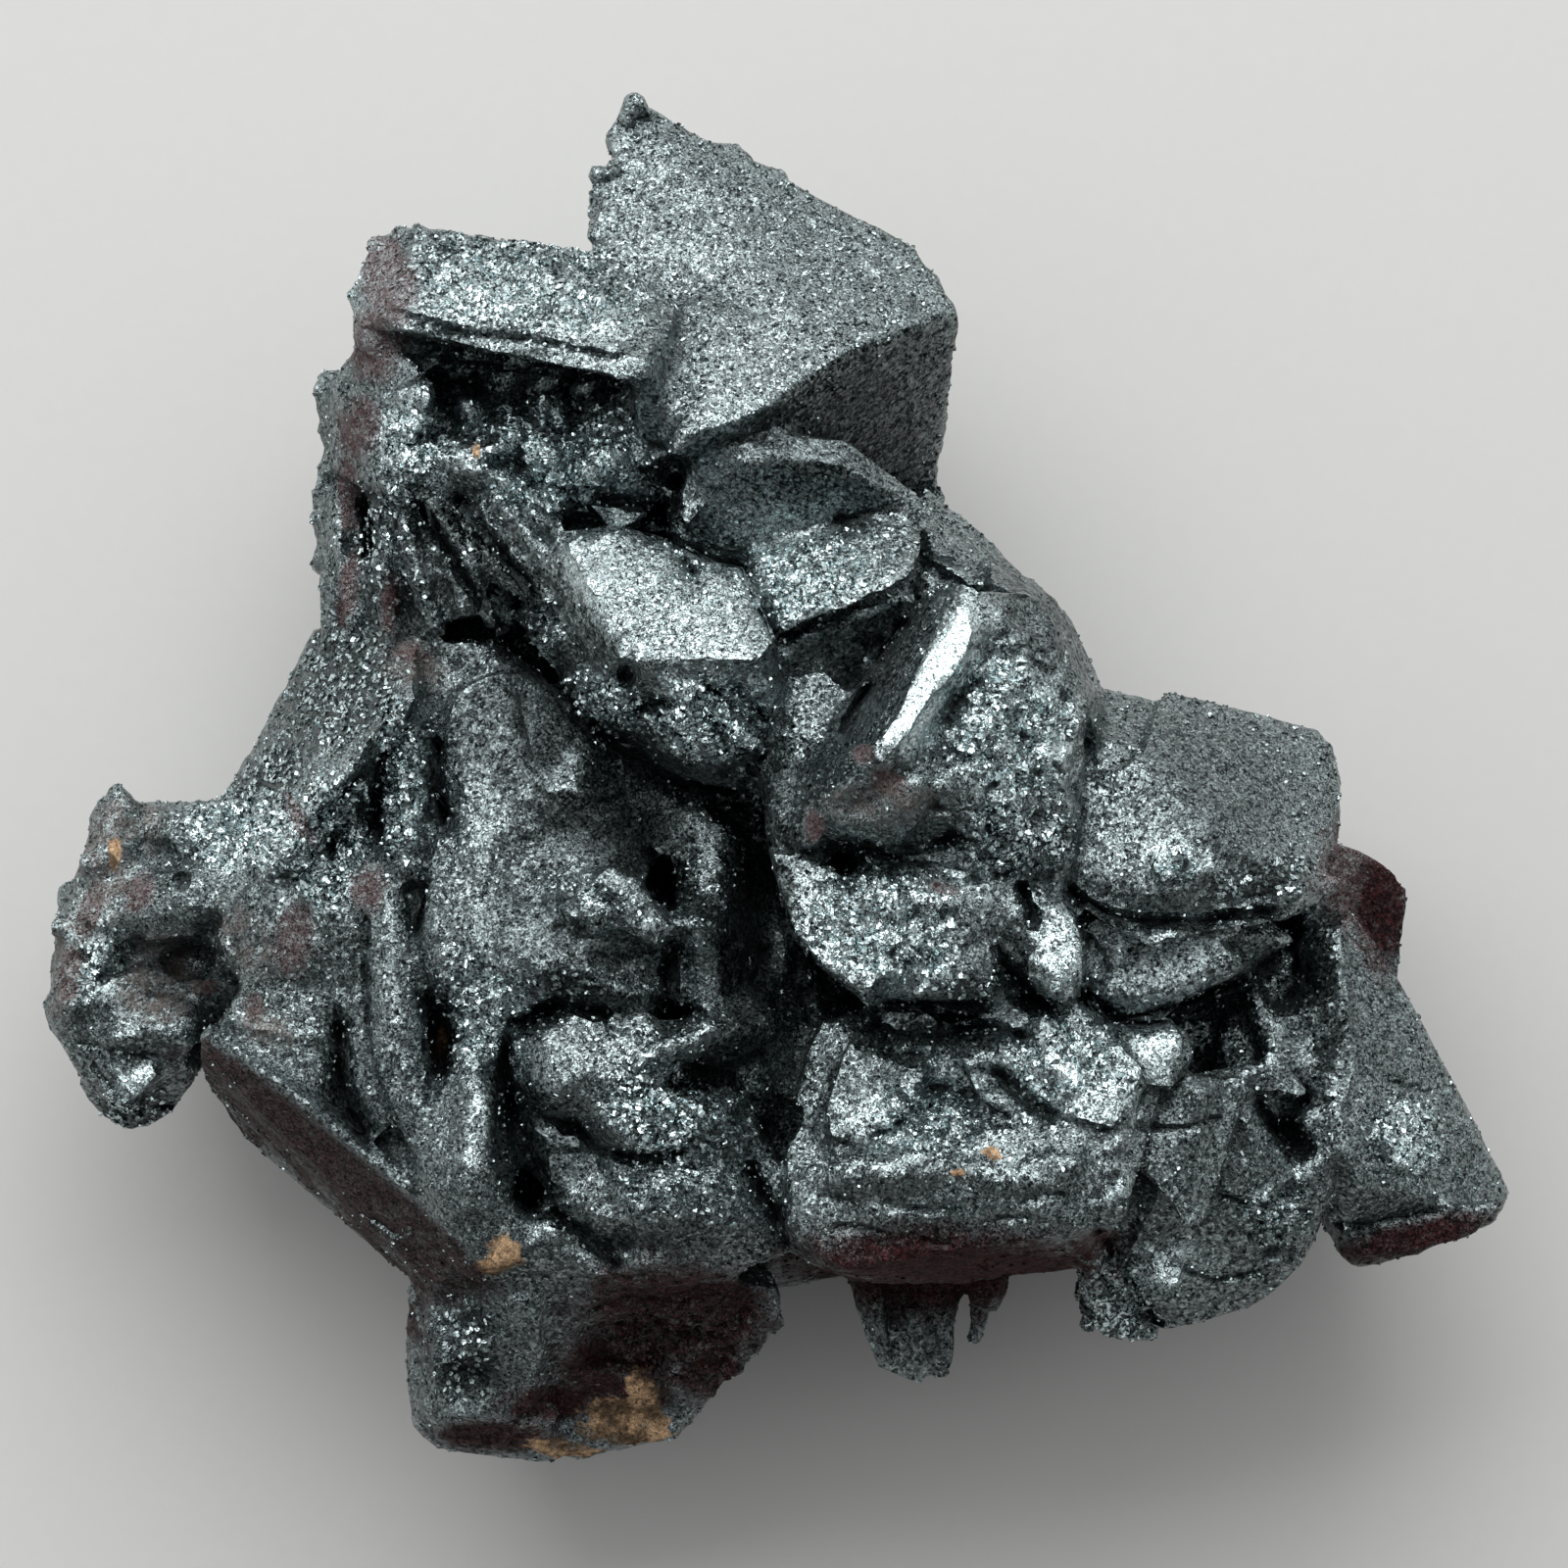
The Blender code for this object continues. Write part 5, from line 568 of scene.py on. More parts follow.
def add_rib(tree, row):
    """A round rib along a row of places, with a radius at each."""
    curve = bpy.data.curves.new("rib", "CURVE")
    curve.dimensions = "3D"
    curve.bevel_depth = MM
    curve.bevel_resolution = 2
    curve.use_fill_caps = True
    curve.resolution_u = 6
    spline = curve.splines.new("NURBS")
    spline.points.add(len(row) - 1)
    spline.order_u = 3
    spline.use_endpoint_u = True
    for point, (px, py, height, radius) in zip(spline.points, row):
        top = place_at(tree, px, py, height)
        point.co = (top.x, top.y, top.z - radius * MM, 1.0)
        point.radius = radius
    make_active(new_object("rib", curve))
    bpy.ops.object.convert(target="MESH")
    return bpy.context.object


def add_knob(tree, px, py, height, *sizes):
    """A rounded knob whose middle lies at a frame position."""
    deselect_all()
    bpy.ops.mesh.primitive_ico_sphere_add(subdivisions=3, radius=MM, location=place_at(tree, px, py, height))
    knob = bpy.context.object
    knob.scale = sizes
    knob.rotation_euler = (0.0, 0.0, 0.01 * (px * 7 + py * 3))
    bpy.ops.object.transform_apply(location=False, rotation=True, scale=True)
    return knob


def add_facet(tree, rise, lean_x, lean_y, *numbers):
    """A flat crystal face over the surface, with steep sides that reach down into it."""
    corners = list(zip(numbers[::2], numbers[1::2]))
    middle_x = sum(px for px, py in corners) / len(corners)
    middle_y = sum(py for px, py in corners) / len(corners)
    samples = [touch(tree, middle_x, middle_y)]
    for share in (0.45, 0.8):
        for px, py in corners:
            way_x, way_y = share * (px - middle_x), share * (py - middle_y)
            samples.append(touch(tree, middle_x + way_x, middle_y + way_y))
    places = np.array([[1.0, point.x, point.y] for point in samples])
    heights = np.array([point.z for point in samples])
    level = float(np.median(heights))
    kept = np.abs(heights - level) < FACET_SPREAD * MM
    if math.isnan(lean_x):
        plane = np.linalg.lstsq(places[kept], heights[kept], rcond=None)[0]
    else:
        plane = np.array([0.0, -lean_x, -lean_y])
        plane[0] = np.mean(heights[kept] - places[kept, 1:] @ plane[1:])
    deselect_all()
    bpy.ops.mesh.primitive_circle_add(vertices=len(corners), radius=MM, fill_type="NGON")
    facet = bpy.context.object
    for vertex, (px, py) in zip(facet.data.vertices, corners):
        x, y = (value * MM for value in spot(px, py, level / MM))
        vertex.co = (x, y, plane[0] + plane[1] * x + plane[2] * y + rise * MM)
    edit_all()
    bpy.ops.mesh.extrude_region_move(TRANSFORM_OT_translate={"value": (0.0, 0.0, -FACET_SIDES * MM)})
    bpy.ops.mesh.select_all(action="SELECT")
    bpy.ops.mesh.normals_make_consistent(inside=False)
    bpy.ops.object.mode_set(mode="OBJECT")
    return facet


def keep_largest(piece):
    """Keeps the outer surface of a merged mesh and drops closed hollows and crumbs."""
    work = bmesh.new()
    work.from_mesh(piece.data)
    left = set(work.verts)
    largest = set()
    while left:
        found = [left.pop()]
        island = set(found)
        while found:
            vertex = found.pop()
            for link in vertex.link_edges:
                other = link.other_vert(vertex)
                if other in left:
                    left.remove(other)
                    island.add(other)
                    found.append(other)
        if len(island) > len(largest):
            largest = island
    bmesh.ops.delete(work, geom=[vertex for vertex in work.verts if vertex not in largest], context="VERTS")
    work.to_mesh(piece.data)
    work.free()


def soften_ribs(tree, skin):
    """Smooths the skin next to the ribs, so that they run into it like folds."""
    middles = []
    parts = 8
    for row in RIBS:
        places = [(place_at(tree, px, py, height) - Vector((0.0, 0.0, radius * MM)), radius * MM)
                  for px, py, height, radius in row]
        for (first, wide), (second, narrow) in zip(places, places[1:]):
            for part in range(parts):
                middles.append((first.lerp(second, part / parts), wide + (narrow - wide) * part / parts))
    near = KDTree(len(middles))
    for number, (middle, radius) in enumerate(middles):
        near.insert(middle, number)
    near.balance()
    levels = ([], [], [], [])
    for vertex in skin.data.vertices:
        number, away = near.find(vertex.co)[1:]
        weight = 1.0 - (away - middles[number][1]) / (FOLD_SOFTENING * MM)
        if weight > 0.1:
            levels[min(3, int(weight * 4))].append(vertex.index)
    group = skin.vertex_groups.new(name="folds")
    for number, level in enumerate(levels):
        group.add(level, (number + 1) / 4, "REPLACE")
    smooth = skin.modifiers.new("soften_folds", "SMOOTH")
    smooth.factor = 0.6
    smooth.iterations = 9
    smooth.vertex_group = "folds"
    apply_all(skin)
    skin.vertex_groups.clear()


def guide(name, rows):
    """An object with edges only, flat at z = 0, along rows of frame positions."""
    work = bmesh.new()
    for row in rows:
        points = []
        for px, py in row:
            x, y = spot(px, py)
            points.append(work.verts.new((x * MM, y * MM, 0.0)))
        for ends in zip(points, points[1:]):
            work.edges.new(ends)
    mesh = bpy.data.meshes.new(name)
    work.to_mesh(mesh)
    work.free()
    return new_object(name, mesh)


def start_group(name):
    """A new geometry node group: its board, the mesh it is given, and each point's place in millimetres
    and normal."""
    group = bpy.data.node_groups.new(name, "GeometryNodeTree")
    group.interface.new_socket("Geometry", in_out="INPUT", socket_type="NodeSocketGeometry")
    group.interface.new_socket("Geometry", in_out="OUTPUT", socket_type="NodeSocketGeometry")
    board = Board(group)
    place = board.scaled(board.out("GeometryNodeInputPosition"), 1.0 / MM)
    return board, board.out("NodeGroupInput"), place, board.out("GeometryNodeInputNormal")


def run_group(piece, board, mesh):
    """Ends a node group with a mesh, and applies the group to a piece."""
    board.node("NodeGroupOutput", None, {0: mesh})
    modifier = piece.modifiers.new(board.tree.name, "NODES")
    modifier.node_group = board.tree
    apply_all(piece)


def carve_relief(skin, sizes):
    """Moves the skin: lumps and chipped plates along its normal, cracks, lines and pits straight down."""
    lines = {name: guide(name, rows) for name, rows in LINES.items()}
    board, mesh, place, normal = start_group("relief")
    height = board.parts(place)[2]
    facing = board.parts(normal)[2]
    flat = board.flattened(place)
    front = height.step(12.0, 20.0)
    ragged = (board.noise(place, 4.0) - 0.5) * 0.9
    rough = (board.nearest(flat, STAINS["sparkle"]) + ragged).step(1.25, 0.75) * front
    even = (board.nearest(flat, FLAT_PLACES) + ragged * 0.6).step(1.2, 0.8) * front
    plain = 1.0 - 0.85 * even

    broad = board.noise(place, 7.0, 2.0) - 0.5
    middle = board.noise(place, 2.4, 3.0, 0.6) - 0.5
    bent = board.vector("ADD", place, board.wander(place, 2.0, 0.7))
    plates = board.parts(board.cells(bent, 1.3))[0] - 0.5
    splinters = board.parts(board.cells(bent, 2.8))[1] - 0.5
    crumple = board.sum("ABSOLUTE", board.noise(bent, 2.6, 2.0) - 0.5).step(0.10, 0.0)
    rise = (broad + middle * (0.45 + 0.6 * rough)) * (sizes.lumps * plain)
    rise = rise + plates * (sizes.chips * (0.12 + 0.25 * plain + 0.9 * rough))
    rise = rise + splinters * (0.9 * sizes.chips * rough) + crumple * (0.8 * sizes.chips * rough)

    drifted = board.vector("ADD", flat, board.wander(place, 1.6, 0.45))
    point = board.vector("MULTIPLY", drifted, (MM, MM, 0.0))

    def along(name, width):
        """1 on the lines, falling to 0 at width millimetres from them."""
        settings = {"transform_space": "ORIGINAL"}
        shape = board.out("GeometryNodeObjectInfo", settings, {"Object": lines[name]}, "Geometry")
        away = board.out("GeometryNodeProximity", {"target_element": "EDGES"}, {
            "Geometry": shape, "Sample Position": point}, "Distance")
        return away.step(width * MM, 0.0)

    uneven = 0.65 + 0.9 * board.noise(place, 5.0, 1.0).step(0.3, 0.7)
    carve = along("deep", 0.75) * sizes.crack_depth * uneven
    carve = carve + along("deep", 2.4) * (0.42 * sizes.crack_depth)
    carve = carve + along("fine", 0.42) * sizes.fine_depth * uneven
    carve = carve + along("valleys", 3.2) * (1.1 * MM)
    carve = carve - along("crests", 0.8) * (0.35 * MM)
    for *ellipse, high in MOUNDS:
        swell = (board.reach(flat, *ellipse) + ragged * 0.25).step(1.1, 0.2)
        carve = carve - swell * (high * MM)
    for *ellipse, depth in PITS:
        pit = (board.reach(flat, *ellipse) + ragged * 0.5).step(1.25, 0.35)
        carve = carve + pit * (depth * MM)
    open_above = front * facing.step(-0.2, 0.25)
    above_break = height.step(0.3, 2.0)
    sink = board.out("ShaderNodeCombineXYZ", None, {2: 0.0 - carve * open_above})
    move = board.vector("ADD", board.scaled(normal, rise * above_break), sink)
    run_group(skin, board, board.out("GeometryNodeSetPosition", None, {"Geometry": mesh, "Offset": move}))
    for line in lines.values():
        bpy.data.objects.remove(line)


def store_finishes(skin):
    """Stores on the skin how near each point is to each stain, finish or patch of painted light, for the
    materials to read.
    """
    board, mesh, place, normal = start_group("finishes")
    behind = board.parts(place)[2].step(12.0, 6.0, 0.0, 3.0)
    wall = board.parts(normal)[2].step(0.40, -0.10)
    flat = board.vector("ADD", board.flattened(place), board.scaled(board.wander(place, 6.0, 3.0), wall))
    behind = behind + 0.3 * wall
    for name, ellipses in STAINS.items():
        reach = board.sum("MINIMUM", board.nearest(flat, ellipses) + behind, 4.0)
        mesh = board.out("GeometryNodeStoreNamedAttribute", {"data_type": "FLOAT", "domain": "POINT"}, {
            "Geometry": mesh, "Name": name, "Value": reach})
    run_group(skin, board, mesh)


def scatter(piece, chip, band, density, seed):
    """Stands copies of one chip on the skin, tilted at random, and makes them real mesh."""
    board, skin, place, normal = start_group(piece.name)
    y, height = board.parts(place)[1:]
    facing_y, facing = board.parts(normal)[1:]

    def inside(name, start, end):
        """1 inside a stored finish."""
        stored = board.out("GeometryNodeInputNamedAttribute", {"data_type": "FLOAT"}, {"Name": name})
        return stored.step(start, end)

    def random(low, high, draw):
        """A random vector for each platelet."""
        return board.out("FunctionNodeRandomValue", {"data_type": "FLOAT_VECTOR"}, {
            0: low, 1: high, "Seed": seed + draw})

    patchy = board.noise(place, 5.0, 3.0).step(0.35, 0.62)
    rough = inside("sparkle", 1.3, 0.8)
    fleck = inside("fleck", 1.25, 0.8)
    calm = inside("satin", 1.25, 0.9)
    for name in ("mirror", "clay"):
        calm = board.sum("MAXIMUM", calm, inside(name, 1.3, 1.0))
    if band:
        share = (0.45 + 0.55 * patchy) * (1.0 - 0.92 * calm) + 0.6 * rough * (1.0 - calm)
        lit = (facing * 0.85 + facing_y * 0.5).step(0.2, 0.7, 0.35, 1.0)
        share = share * board.sum("MAXIMUM", lit, rough) + 0.8 * fleck
        within = board.sum("GREATER_THAN", y, band[0]) * board.sum("LESS_THAN", y, band[1])
        share = share * within * height.step(10.0, 16.0) * facing.step(-0.1, 0.25)
    else:
        side_or_low = board.sum("MAXIMUM", facing.step(0.3, -0.1), height.step(16.0, 10.0))
        share = side_or_low * height.step(1.5, 4.0) * (0.3 + 0.7 * patchy)
    points = board.node("GeometryNodeDistributePointsOnFaces", {"distribute_method": "RANDOM"}, {
        "Mesh": skin, "Density": share * (density / MM / MM), "Seed": seed})
    lean = math.radians(PLATELET_LEAN)
    turned = board.out("FunctionNodeRotateRotation", {"rotation_space": "LOCAL"}, {
        0: Wire(board, points.outputs["Rotation"]),
        1: random((-lean, -lean, 0.0), (lean, lean, 2.0 * math.pi), 1)})
    shape = board.out("GeometryNodeObjectInfo", {"transform_space": "ORIGINAL"}, {"Object": chip}, "Geometry")
    stood = board.out("GeometryNodeInstanceOnPoints", None, {
        "Points": Wire(board, points.outputs["Points"]), "Instance": shape, "Rotation": turned,
        "Scale": board.scaled(random(SMALLEST, LARGEST, 2), 1.0 + 0.5 * rough + 0.45 * fleck)})
    run_group(piece, board, board.out("GeometryNodeRealizeInstances", None, {0: stood}))


def new_material(name):
    """A new material and its main shader."""
    made = bpy.data.materials.new(name)
    made.use_nodes = True
    return made, made.node_tree.nodes["Principled BSDF"]


class HematiteBoard(Board):
    """The nodes of a hematite material, with the patterns that its layers share.

    cell is the width of a glittering cell and curl that of a seam's turns, in millimetres.
    """

    def __init__(self, tree, cell, curl):
        super().__init__(tree)
        around = self.node("ShaderNodeTexCoord")
        self.place = self.scaled(Wire(self, around.outputs["Object"]), 1.0 / MM)
        self.normal = self.parts(Wire(self, around.outputs["Normal"]))
        self.ragged = self.noise(self.place, 1.5, 4.0, 0.65) - 0.5
        self.bent = self.vector("ADD", self.place, self.wander(self.place, cell * 1.2, cell * 0.8))
        self.flake = self.cells(self.bent, cell)
        self.flake_parts = self.parts(self.flake)
        self.facet = self.cells(self.place, cell * 3.4)
        self.grain = self.parts(self.cells(self.place, cell * 0.55))[0]
        self.swell = self.noise(self.bent, curl, 1.0, 0.5, "Color")
        worms = self.noise(self.bent, curl, 1.0, 0.5)
        self.seams = self.sum("ABSOLUTE", worms - 0.5).step(0.085, 0.02)
        self.blotch = self.noise(self.place, 1.1, 2.0) - 0.5

    def mask(self, finish, frayed, edge):
        """1 inside a stored stain, finish or patch of painted light, with a ragged rim."""
        reach = self.out("ShaderNodeAttribute", {"attribute_name": finish}, None, "Fac")
        return (reach + self.ragged * frayed).step(1.0 + edge, 1.0 - edge)


def lay_metal(board, colours, tilt, shine, painted_glint_gain):
    """Clean metal, dark in its seams, with painted shade on faces turned from the window and in hollows, and
    painted highlights on ridges and chosen patches: colour, roughness, share of metal, and normal.

    tilt is how far the cells lean, shine is the roughness of the smoothest, and the last argument is how much
    brighter than the rest the flecks are painted: a painted glint, or a darker tone where it is below nought.
    """
    lean_y, lean_z = board.normal[1:]
    flake_x, flake_y, flake_z = board.flake_parts
    satin = board.mask("satin", 0.9, 0.35)
    # Rough patches, also painted lighter: their tone is lifted and the painted shade on faces turned from the
    # window is taken away.
    sparkle = board.mask("sparkle", 1.6, 0.4)
    # Mirror-smooth faces, whose tone is also lifted by 0.25 as a painted highlight.
    mirror = board.mask("mirror", 0.9, 0.15)
    # Painted highlight: the tone here is up to nearly twice as bright, and the normals lean towards the
    # window.
    silver = board.mask("silver", 1.2, 0.35)
    # Fleck patches: a painted glint on the platelets, a darker skin.
    fleck = board.mask("fleck", 1.6, 0.4)
    # Painted shade: in these patches, on faces not turned towards the window, the tone is painted darker by
    # up to 0.55 and its contrast is raised.
    dusk = board.mask("dusk", 0.6, 0.3) * lean_y.step(0.30, 0.0)
    geometry = board.node("ShaderNodeNewGeometry")
    pointed = Wire(board, geometry.outputs["Pointiness"])

    # Painted shade: the tone falls to 0.36 of itself on faces turned down or away from the window. There the
    # contrast is raised, the cells lean further, and the seams are painted bright instead of dark.
    painted_facing_light = (lean_z * 0.85 + lean_y * 0.5).step(0.05, 0.8, 0.36, 1.0)
    painted_facing_light = board.sum("MAXIMUM", painted_facing_light, 0.95 * sparkle)
    painted_facing_shade = 1.0 - painted_facing_light
    amount = tilt * (1.0 - 0.25 * satin + 0.4 * sparkle + 0.9 * painted_facing_shade)
    amount = amount * (1.0 - 0.5 * mirror) * (1.0 - 0.35 * dusk)
    lean = board.scaled((0.0, 0.28, 0.12), silver)
    for pattern, share in ((board.flake, 1.0), (board.facet, 0.12 + 0.35 * sparkle), (board.swell, 1.9)):
        lean = board.vector("ADD", lean, board.scaled(board.about_grey(pattern), amount * share))
    normal = board.vector("ADD", Wire(board, geometry.outputs["Normal"]), lean)

    # Painted highlight on sharp ridges and painted shade in hollows, read from the pointiness of the mesh;
    # the hollows are also made duller and less metallic.
    painted_ridge_highlight = pointed.step(0.50, 0.60)
    painted_valley_shade = pointed.step(0.495, 0.42)
    gaps = flake_z.step(0.62, 0.92) * 0.35
    vary = (0.42 * flake_x + 0.65 * board.grain - 0.53) * (1.0 + 1.8 * painted_facing_shade + 1.2 * satin + 2.0 * dusk)
    vary = vary + board.blotch * (0.2 + 1.0 * satin + 0.8 * dusk)
    cloudy = board.noise(board.place, 8.0, 3.0) - 0.5
    tone = (0.94 + vary + 0.3 * cloudy + 0.3 * painted_ridge_highlight + 0.35 * sparkle) * painted_facing_light
    tone = tone * (1.0 - 0.40 * satin) * (1.0 + 0.95 * silver) * (1.0 + 2.0 * painted_facing_shade * board.seams)
    tone = (tone + 0.25 * mirror) * (1.0 + painted_glint_gain * fleck) * (1.0 - 0.55 * dusk)
    tone = board.sum("MAXIMUM", board.sum("MINIMUM", tone, 2.0), 0.04)
    seams = board.seams * (0.98 - 0.15 * satin - 0.1 * mirror) * (1.0 - 0.9 * painted_facing_shade)
    dark = board.sum("MINIMUM", seams + gaps * (1.0 - 0.6 * mirror) + 0.8 * painted_valley_shade, 0.94)
    colour = board.blend(dark, board.scaled(tuple(colours.metal), tone), (*colours.seam_and_painted_shade, 1.0))
    gloss = shine + 0.28 * flake_y + 0.14 * satin + 0.3 * painted_valley_shade - 0.08 * mirror
    return colour, gloss, 1.0 - 0.55 * painted_valley_shade, board.vector("NORMALIZE", normal)


def lay_stains(board, colours, colour):
    """Lays oxide, crust, dark undersides, the dull plate and clay on a colour; also says how dull it is."""
    place = board.place
    flake_x, flake_y = board.flake_parts[:2]
    film = board.noise(place, 0.8, 3.0, 0.6).step(0.30, 0.58)
    film = film * (1.0 - 0.8 * flake_y.step(0.80, 0.90))
    rust = board.mask("rust", 1.2, 0.35) * (0.55 + 0.45 * film)
    maroon = board.mask("maroon", 1.0, 0.4) * (0.84 + 0.16 * film)
    clay = board.mask("clay", 1.9, 0.18) * board.noise(place, 1.0, 4.0, 0.7).step(0.30, 0.44)
    crust = board.mask("crust", 1.6, 0.4) * board.noise(place, 1.6, 4.0, 0.65).step(0.34, 0.62)

    x, y, height = board.parts(place)
    faces_down_left = (-0.62 * board.normal[0] - 0.78 * board.normal[1]).step(0.42, 0.75)
    near = board.vector("DISTANCE", board.flattened(place), (-36.0, -31.0, 0.0), output="Value")
    plate = faces_down_left * near.step(18.0, 15.0) * (0.8 + 0.2 * film)
    plate = plate * (-0.636 * (x + 46.0) - 0.772 * (y + 20.1)).step(-0.6, 0.4)
    worn = board.noise(place, 4.0, 5.0, 0.62).step(0.44, 0.60)
    plate = plate * (1.0 - worn * height.step(34.0, 22.0, 0.15, 0.85))

    maroon_tone = (0.1 + 1.8 * board.grain) * (1.0 + 2.0 * board.blotch)
    plate_tone = (0.2 + 1.5 * board.grain) * (1.0 + 1.6 * board.blotch)
    clay_tone = 0.30 + 0.45 * flake_x + 1.7 * board.noise(place, 2.4, 3.0, 0.7).step(0.42, 0.62)
    for share, stain, tone in (
            (0.76 * rust, colours.rust, 1.0), (0.62 * crust, colours.crust, 1.0),
            (0.96 * maroon, colours.maroon, maroon_tone), (0.94 * plate, colours.plate, plate_tone),
            (clay, colours.clay, clay_tone)):
        colour = board.blend(share, colour, board.scaled(tuple(stain), tone))
    dull = board.sum("MINIMUM", 0.85 * rust + 0.55 * crust + 0.85 * maroon + 0.94 * plate + clay, 1.0)
    return board.blend(0.6 * board.seams * dull, colour, (*colours.seam_and_painted_shade, 1.0)), dull


def glitter_metal(name, colours, cell, tilt, curl, shine, painted_glint_gain):
    """Dark metallic hematite: tilted cells that glitter, dark curling seams, stains and dull places, with
    painted shade and painted highlights in its colour.
    """
    made, shader = new_material(name)
    board = HematiteBoard(made.node_tree, cell, curl)
    colour, gloss, metallic, normal = lay_metal(board, colours, tilt, shine, painted_glint_gain)
    colour, dull = lay_stains(board, colours, colour)
    board.feed(shader, {
        "Base Color": colour, "Roughness": gloss + (0.72 - gloss) * dull,
        "Metallic": metallic * (1.0 - 0.95 * dull), "Normal": normal, "Specular IOR Level": 0.06})
    made.diffuse_color = (*colours.metal, 1.0)
    return made


def floor_paper(colour):
    """Matte pale paper with a faint mottle."""
    made, shader = new_material("floor_paper")
    board = Board(made.node_tree)
    mottle = board.noise(board.out("ShaderNodeTexCoord", None, None, "Object"), 0.0016, 3.0) - 0.5
    board.feed(shader, {
        "Base Color": board.scaled(tuple(colour), 1.0 + 0.035 * mottle),
        "Roughness": 0.9, "Specular IOR Level": 0.2})
    return made


def add_chip(width, thick, top):
    """One small five-sided plate: a low prism whose top face is narrower."""
    deselect_all()
    bpy.ops.mesh.primitive_cylinder_add(
        vertices=5, radius=width / 2, depth=thick, location=(0, 0, 0.1 * thick))
    chip = bpy.context.object
    chip.name = "platelet"
    bpy.ops.object.transform_apply(location=True, rotation=True, scale=True)
    bpy.ops.object.mode_set(mode="EDIT")
    bpy.ops.mesh.select_all(action="DESELECT")
    work = bmesh.from_edit_mesh(chip.data)
    for face in work.faces:
        face.select = face.normal.z > 0.9
    bmesh.update_edit_mesh(chip.data)
    bpy.ops.transform.resize(value=(top, top * 0.86, 1.0))
    bpy.ops.object.mode_set(mode="OBJECT")
    return chip


def settle(piece, material):
    """Gives a finished piece its material and its body."""
    piece.data.materials.clear()
    piece.data.materials.append(material)
    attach(piece, "root")


def thin_out(skin, triangles):
    """Thins the skin, most of all at the back and the underside."""
    points = skin.data.vertices

    def third_of(name):
        values = np.empty(len(points) * 3, np.float32)
        points.foreach_get(name, values)
        return values[2::3]

    unseen = (third_of("co") < UNSEEN_BELOW * MM) | (third_of("normal") < -0.1)
    group = skin.vertex_groups.new(name="unseen")
    group.add(list(range(len(points))), 0.1, "REPLACE")
    group.add(np.flatnonzero(unseen).tolist(), 1.0, "REPLACE")
    thin = skin.modifiers.new("thin", "DECIMATE")
    thin.ratio = min(1.0, triangles / (2 * len(skin.data.polygons)))
    thin.vertex_group = group.name
    thin.vertex_group_factor = 1.0
    apply_all(skin)
    skin.vertex_groups.clear()


class HEMATITE_OT_shape_skin(bpy.types.Operator):
    """Copies the solid, adds its ribs, knobs and crystal faces, and carves the relief"""
    bl_idname = "hematite.shape_skin"
    bl_label = "Shape the skin"

    def execute(self, context):
        sizes = context.scene.hematite_sizes
        skin = new_object("cluster_skin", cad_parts[NODE].data.copy())
        make_active(skin)
        edit_all()
        bpy.ops.mesh.remove_doubles(threshold=WELD * MM)
        bpy.ops.object.mode_set(mode="OBJECT")
        tree = BVHTree.FromObject(skin, context.evaluated_depsgraph_get())
        forms = [add_rib(tree, row) for row in RIBS]
        forms += [add_knob(tree, *knob) for knob in KNOBS]
        forms += [add_facet(tree, *facet) for facet in FACETS]
        make_active(skin)
        for form in forms:
            form.select_set(True)
        bpy.ops.object.join()
        remesh = skin.modifiers.new("fine_skin", "REMESH")
        remesh.mode = "VOXEL"
        remesh.voxel_size = sizes.skin_grain
        apply_all(skin)
        keep_largest(skin)
        soften_ribs(tree, skin)
        carve_relief(skin, sizes)
        thin_out(skin, sizes.skin_triangles)
        store_finishes(skin)
        make_active(skin)
        bpy.ops.object.shade_smooth_by_angle(angle=math.radians(SMOOTH_ANGLE))
        settle(skin, glitter_metal(
            "hematite_skin", context.scene.hematite_colours,
            cell=0.34, tilt=0.48, curl=0.26, shine=0.20, painted_glint_gain=-0.6))
        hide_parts(NODE)
        print("cluster_skin", len(skin.data.polygons), "faces")
        return {"FINISHED"}


class HEMATITE_OT_grow_platelets(bpy.types.Operator):
    """Covers the skin with thousands of small metallic platelets"""
    bl_idname = "hematite.grow_platelets"
    bl_label = "Grow the platelets"

    def execute(self, context):
        width = context.scene.hematite_sizes.platelet
        skin = bpy.data.objects["cluster_skin"]
        chip = add_chip(width, PLATELET_THICKNESS * width, PLATELET_TOP)
        shine = glitter_metal(
            "hematite_platelets", context.scene.hematite_colours,
            cell=0.6, tilt=0.30, curl=0.5, shine=0.12, painted_glint_gain=1.2)
        for name, band, density, seed in PLATELETS:
            cover = new_object(name, skin.data.copy())
            scatter(cover, chip, band, density, seed)
            settle(cover, shine)
            print(name, sum(len(face.vertices) - 2 for face in cover.data.polygons), "triangles")
        bpy.data.objects.remove(chip)
        return {"FINISHED"}


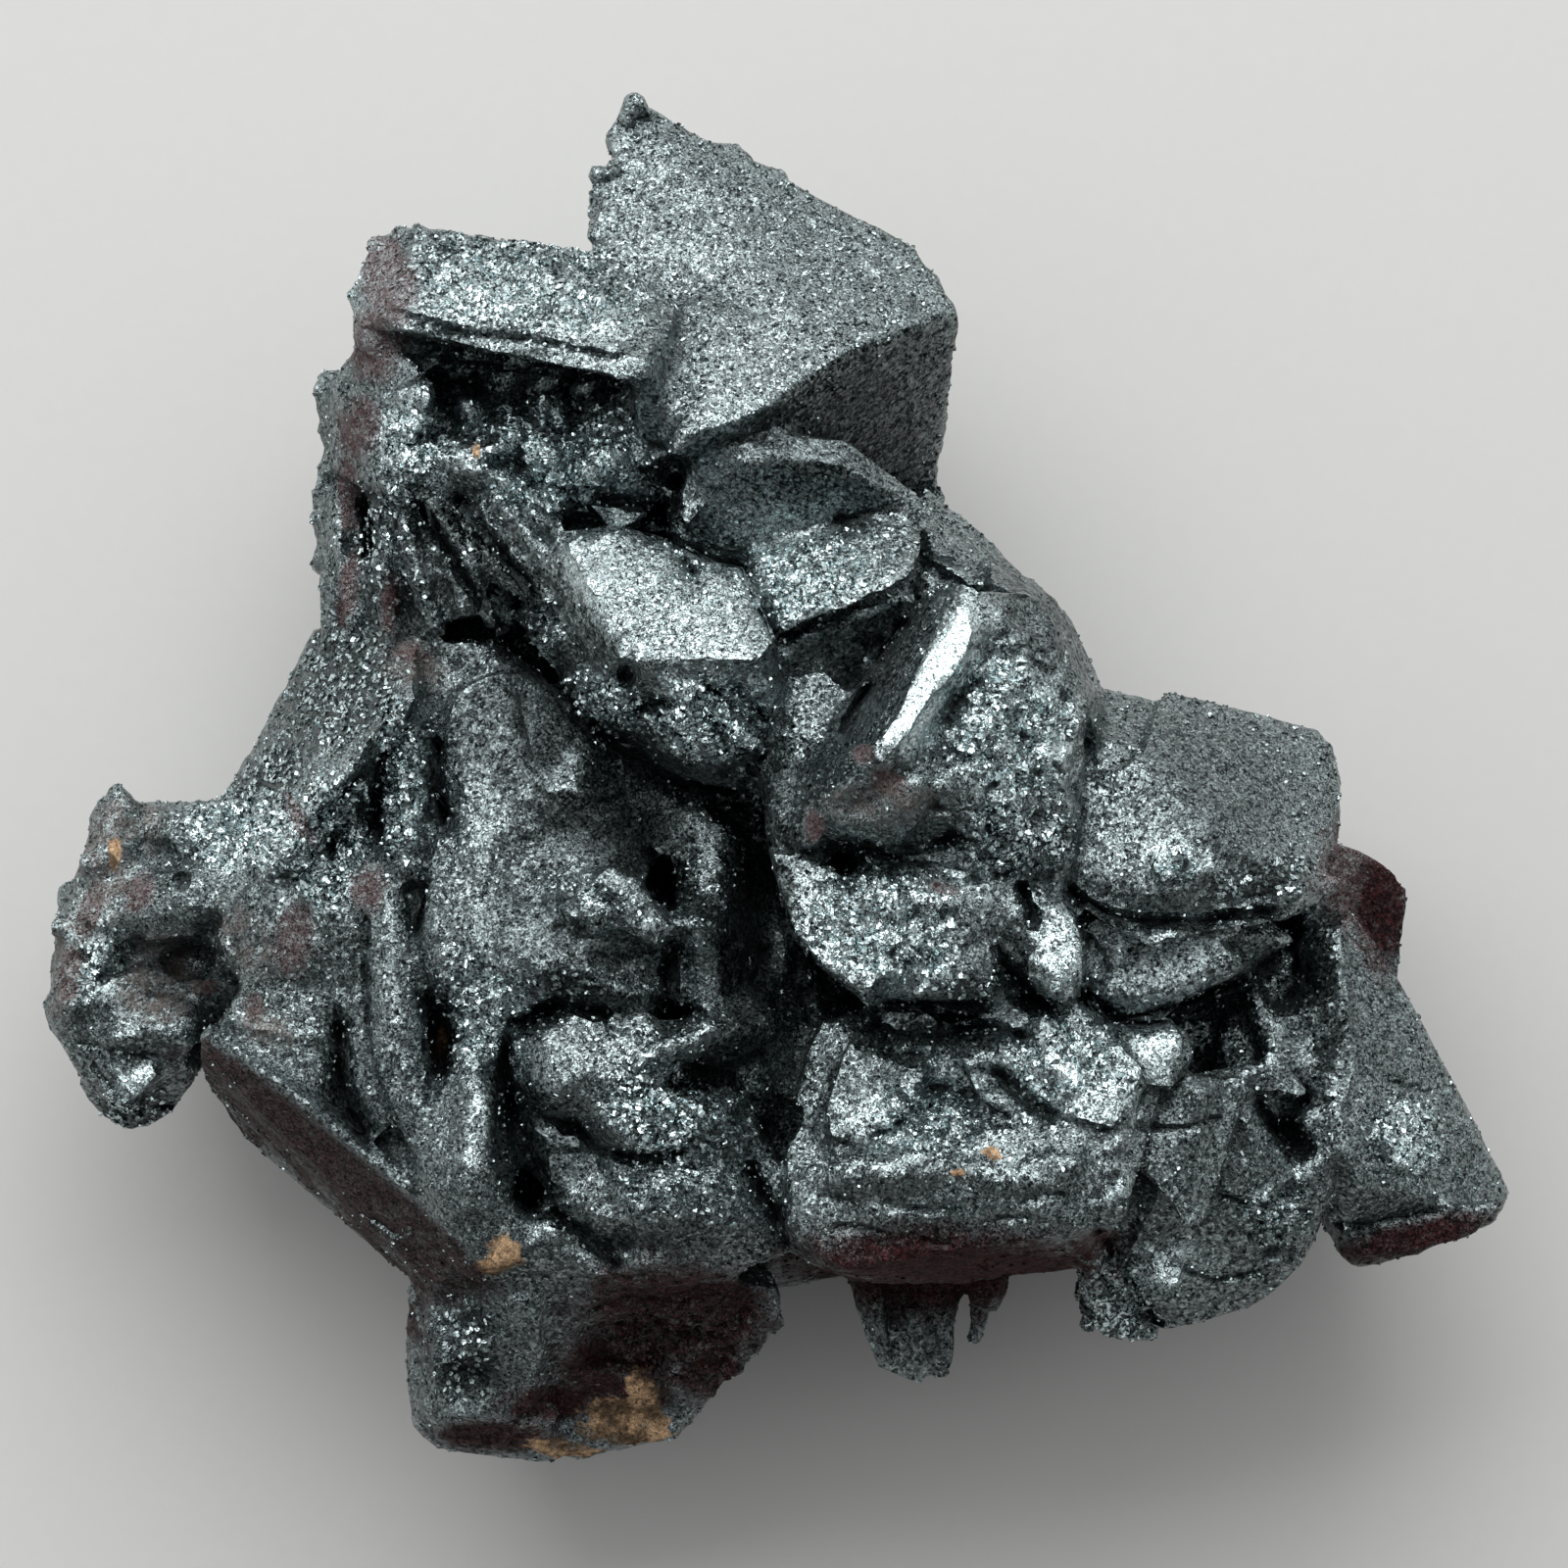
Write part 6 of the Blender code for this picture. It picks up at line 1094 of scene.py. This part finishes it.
class HEMATITE_OT_set_stage(bpy.types.Operator):
    """Lays the pale floor and sets the lights and the camera"""
    bl_idname = "hematite.set_stage"
    bl_label = "Set the stage"

    def execute(self, context):
        stage = context.scene.hematite_stage
        deselect_all()
        bpy.ops.mesh.primitive_plane_add(size=FLOOR_SIZE, location=(0, 0, 0))
        floor = context.object
        floor.name = "floor"
        floor.data.materials.append(floor_paper(stage.floor_colour))
        bpy.ops.object.light_add(type="AREA", location=WINDOW_PLACE)
        light = context.object
        light.name = "window"
        light.data.shape = "RECTANGLE"
        light.data.size, light.data.size_y = WINDOW_SIZE
        light.data.energy = stage.window_power
        light.data.color = WINDOW_TINT
        light.rotation_euler = (WINDOW_AIM - WINDOW_PLACE).to_track_quat("-Z", "Y").to_euler()
        world = bpy.data.worlds.new("studio")
        world.use_nodes = True
        board = Board(world.node_tree)
        way_x, way_y, way_z = board.parts(board.out("ShaderNodeTexCoord", None, None, "Generated"))
        shade = (way_y - 0.15 * way_x).step(-0.75, 0.85, 0.12, 1.0)
        overhead = way_z.step(0.80, 0.98, 1.0, 0.85)
        board.feed(world.node_tree.nodes["Background"], {
            "Color": board.scaled(SKY_TINT, shade * overhead), "Strength": stage.sky})
        context.scene.world = world
        bpy.ops.object.camera_add(location=EYE, rotation=(0, 0, 0))
        camera = context.object
        camera.name = "face_camera"
        camera.data.sensor_width = SENSOR
        camera.data.lens = SENSOR * FRAMED_DEPTH / (2 * FRAME_HALF)
        camera.data.clip_start = 0.05
        camera.data.clip_end = 10.0
        context.scene.camera = camera
        context.scene.view_settings.view_transform = "Standard"
        return {"FINISHED"}


class HEMATITE_PT_panel(bpy.types.Panel):
    """Sizes, colours and the steps that dress the cluster"""
    bl_idname = "HEMATITE_PT_panel"
    bl_label = "Hematite pseudomorph"
    bl_space_type = "VIEW_3D"
    bl_region_type = "UI"
    bl_category = "Hematite"

    def draw(self, context):
        scene = context.scene
        for group in (scene.hematite_sizes, scene.hematite_colours, scene.hematite_stage):
            box = self.layout.box()
            for name in group.bl_rna.properties.keys():
                if name not in ("rna_type", "name"):
                    box.prop(group, name)
        for operator in STEPS:
            self.layout.operator(operator.bl_idname)


STEPS = (HEMATITE_OT_shape_skin, HEMATITE_OT_grow_platelets, HEMATITE_OT_set_stage)
CLASSES = (ClusterSizes, ClusterColours, StageSettings) + STEPS + (HEMATITE_PT_panel,)


def register():
    for cls in CLASSES:
        bpy.utils.register_class(cls)
    bpy.types.Scene.hematite_sizes = PointerProperty(type=ClusterSizes)
    bpy.types.Scene.hematite_colours = PointerProperty(type=ClusterColours)
    bpy.types.Scene.hematite_stage = PointerProperty(type=StageSettings)


def unregister():
    del bpy.types.Scene.hematite_stage
    del bpy.types.Scene.hematite_colours
    del bpy.types.Scene.hematite_sizes
    for cls in reversed(CLASSES):
        bpy.utils.unregister_class(cls)


def main():
    register()
    bpy.ops.hematite.shape_skin()
    bpy.ops.hematite.grow_platelets()
    bpy.ops.hematite.set_stage()


if __name__ == "__main__":
    main()
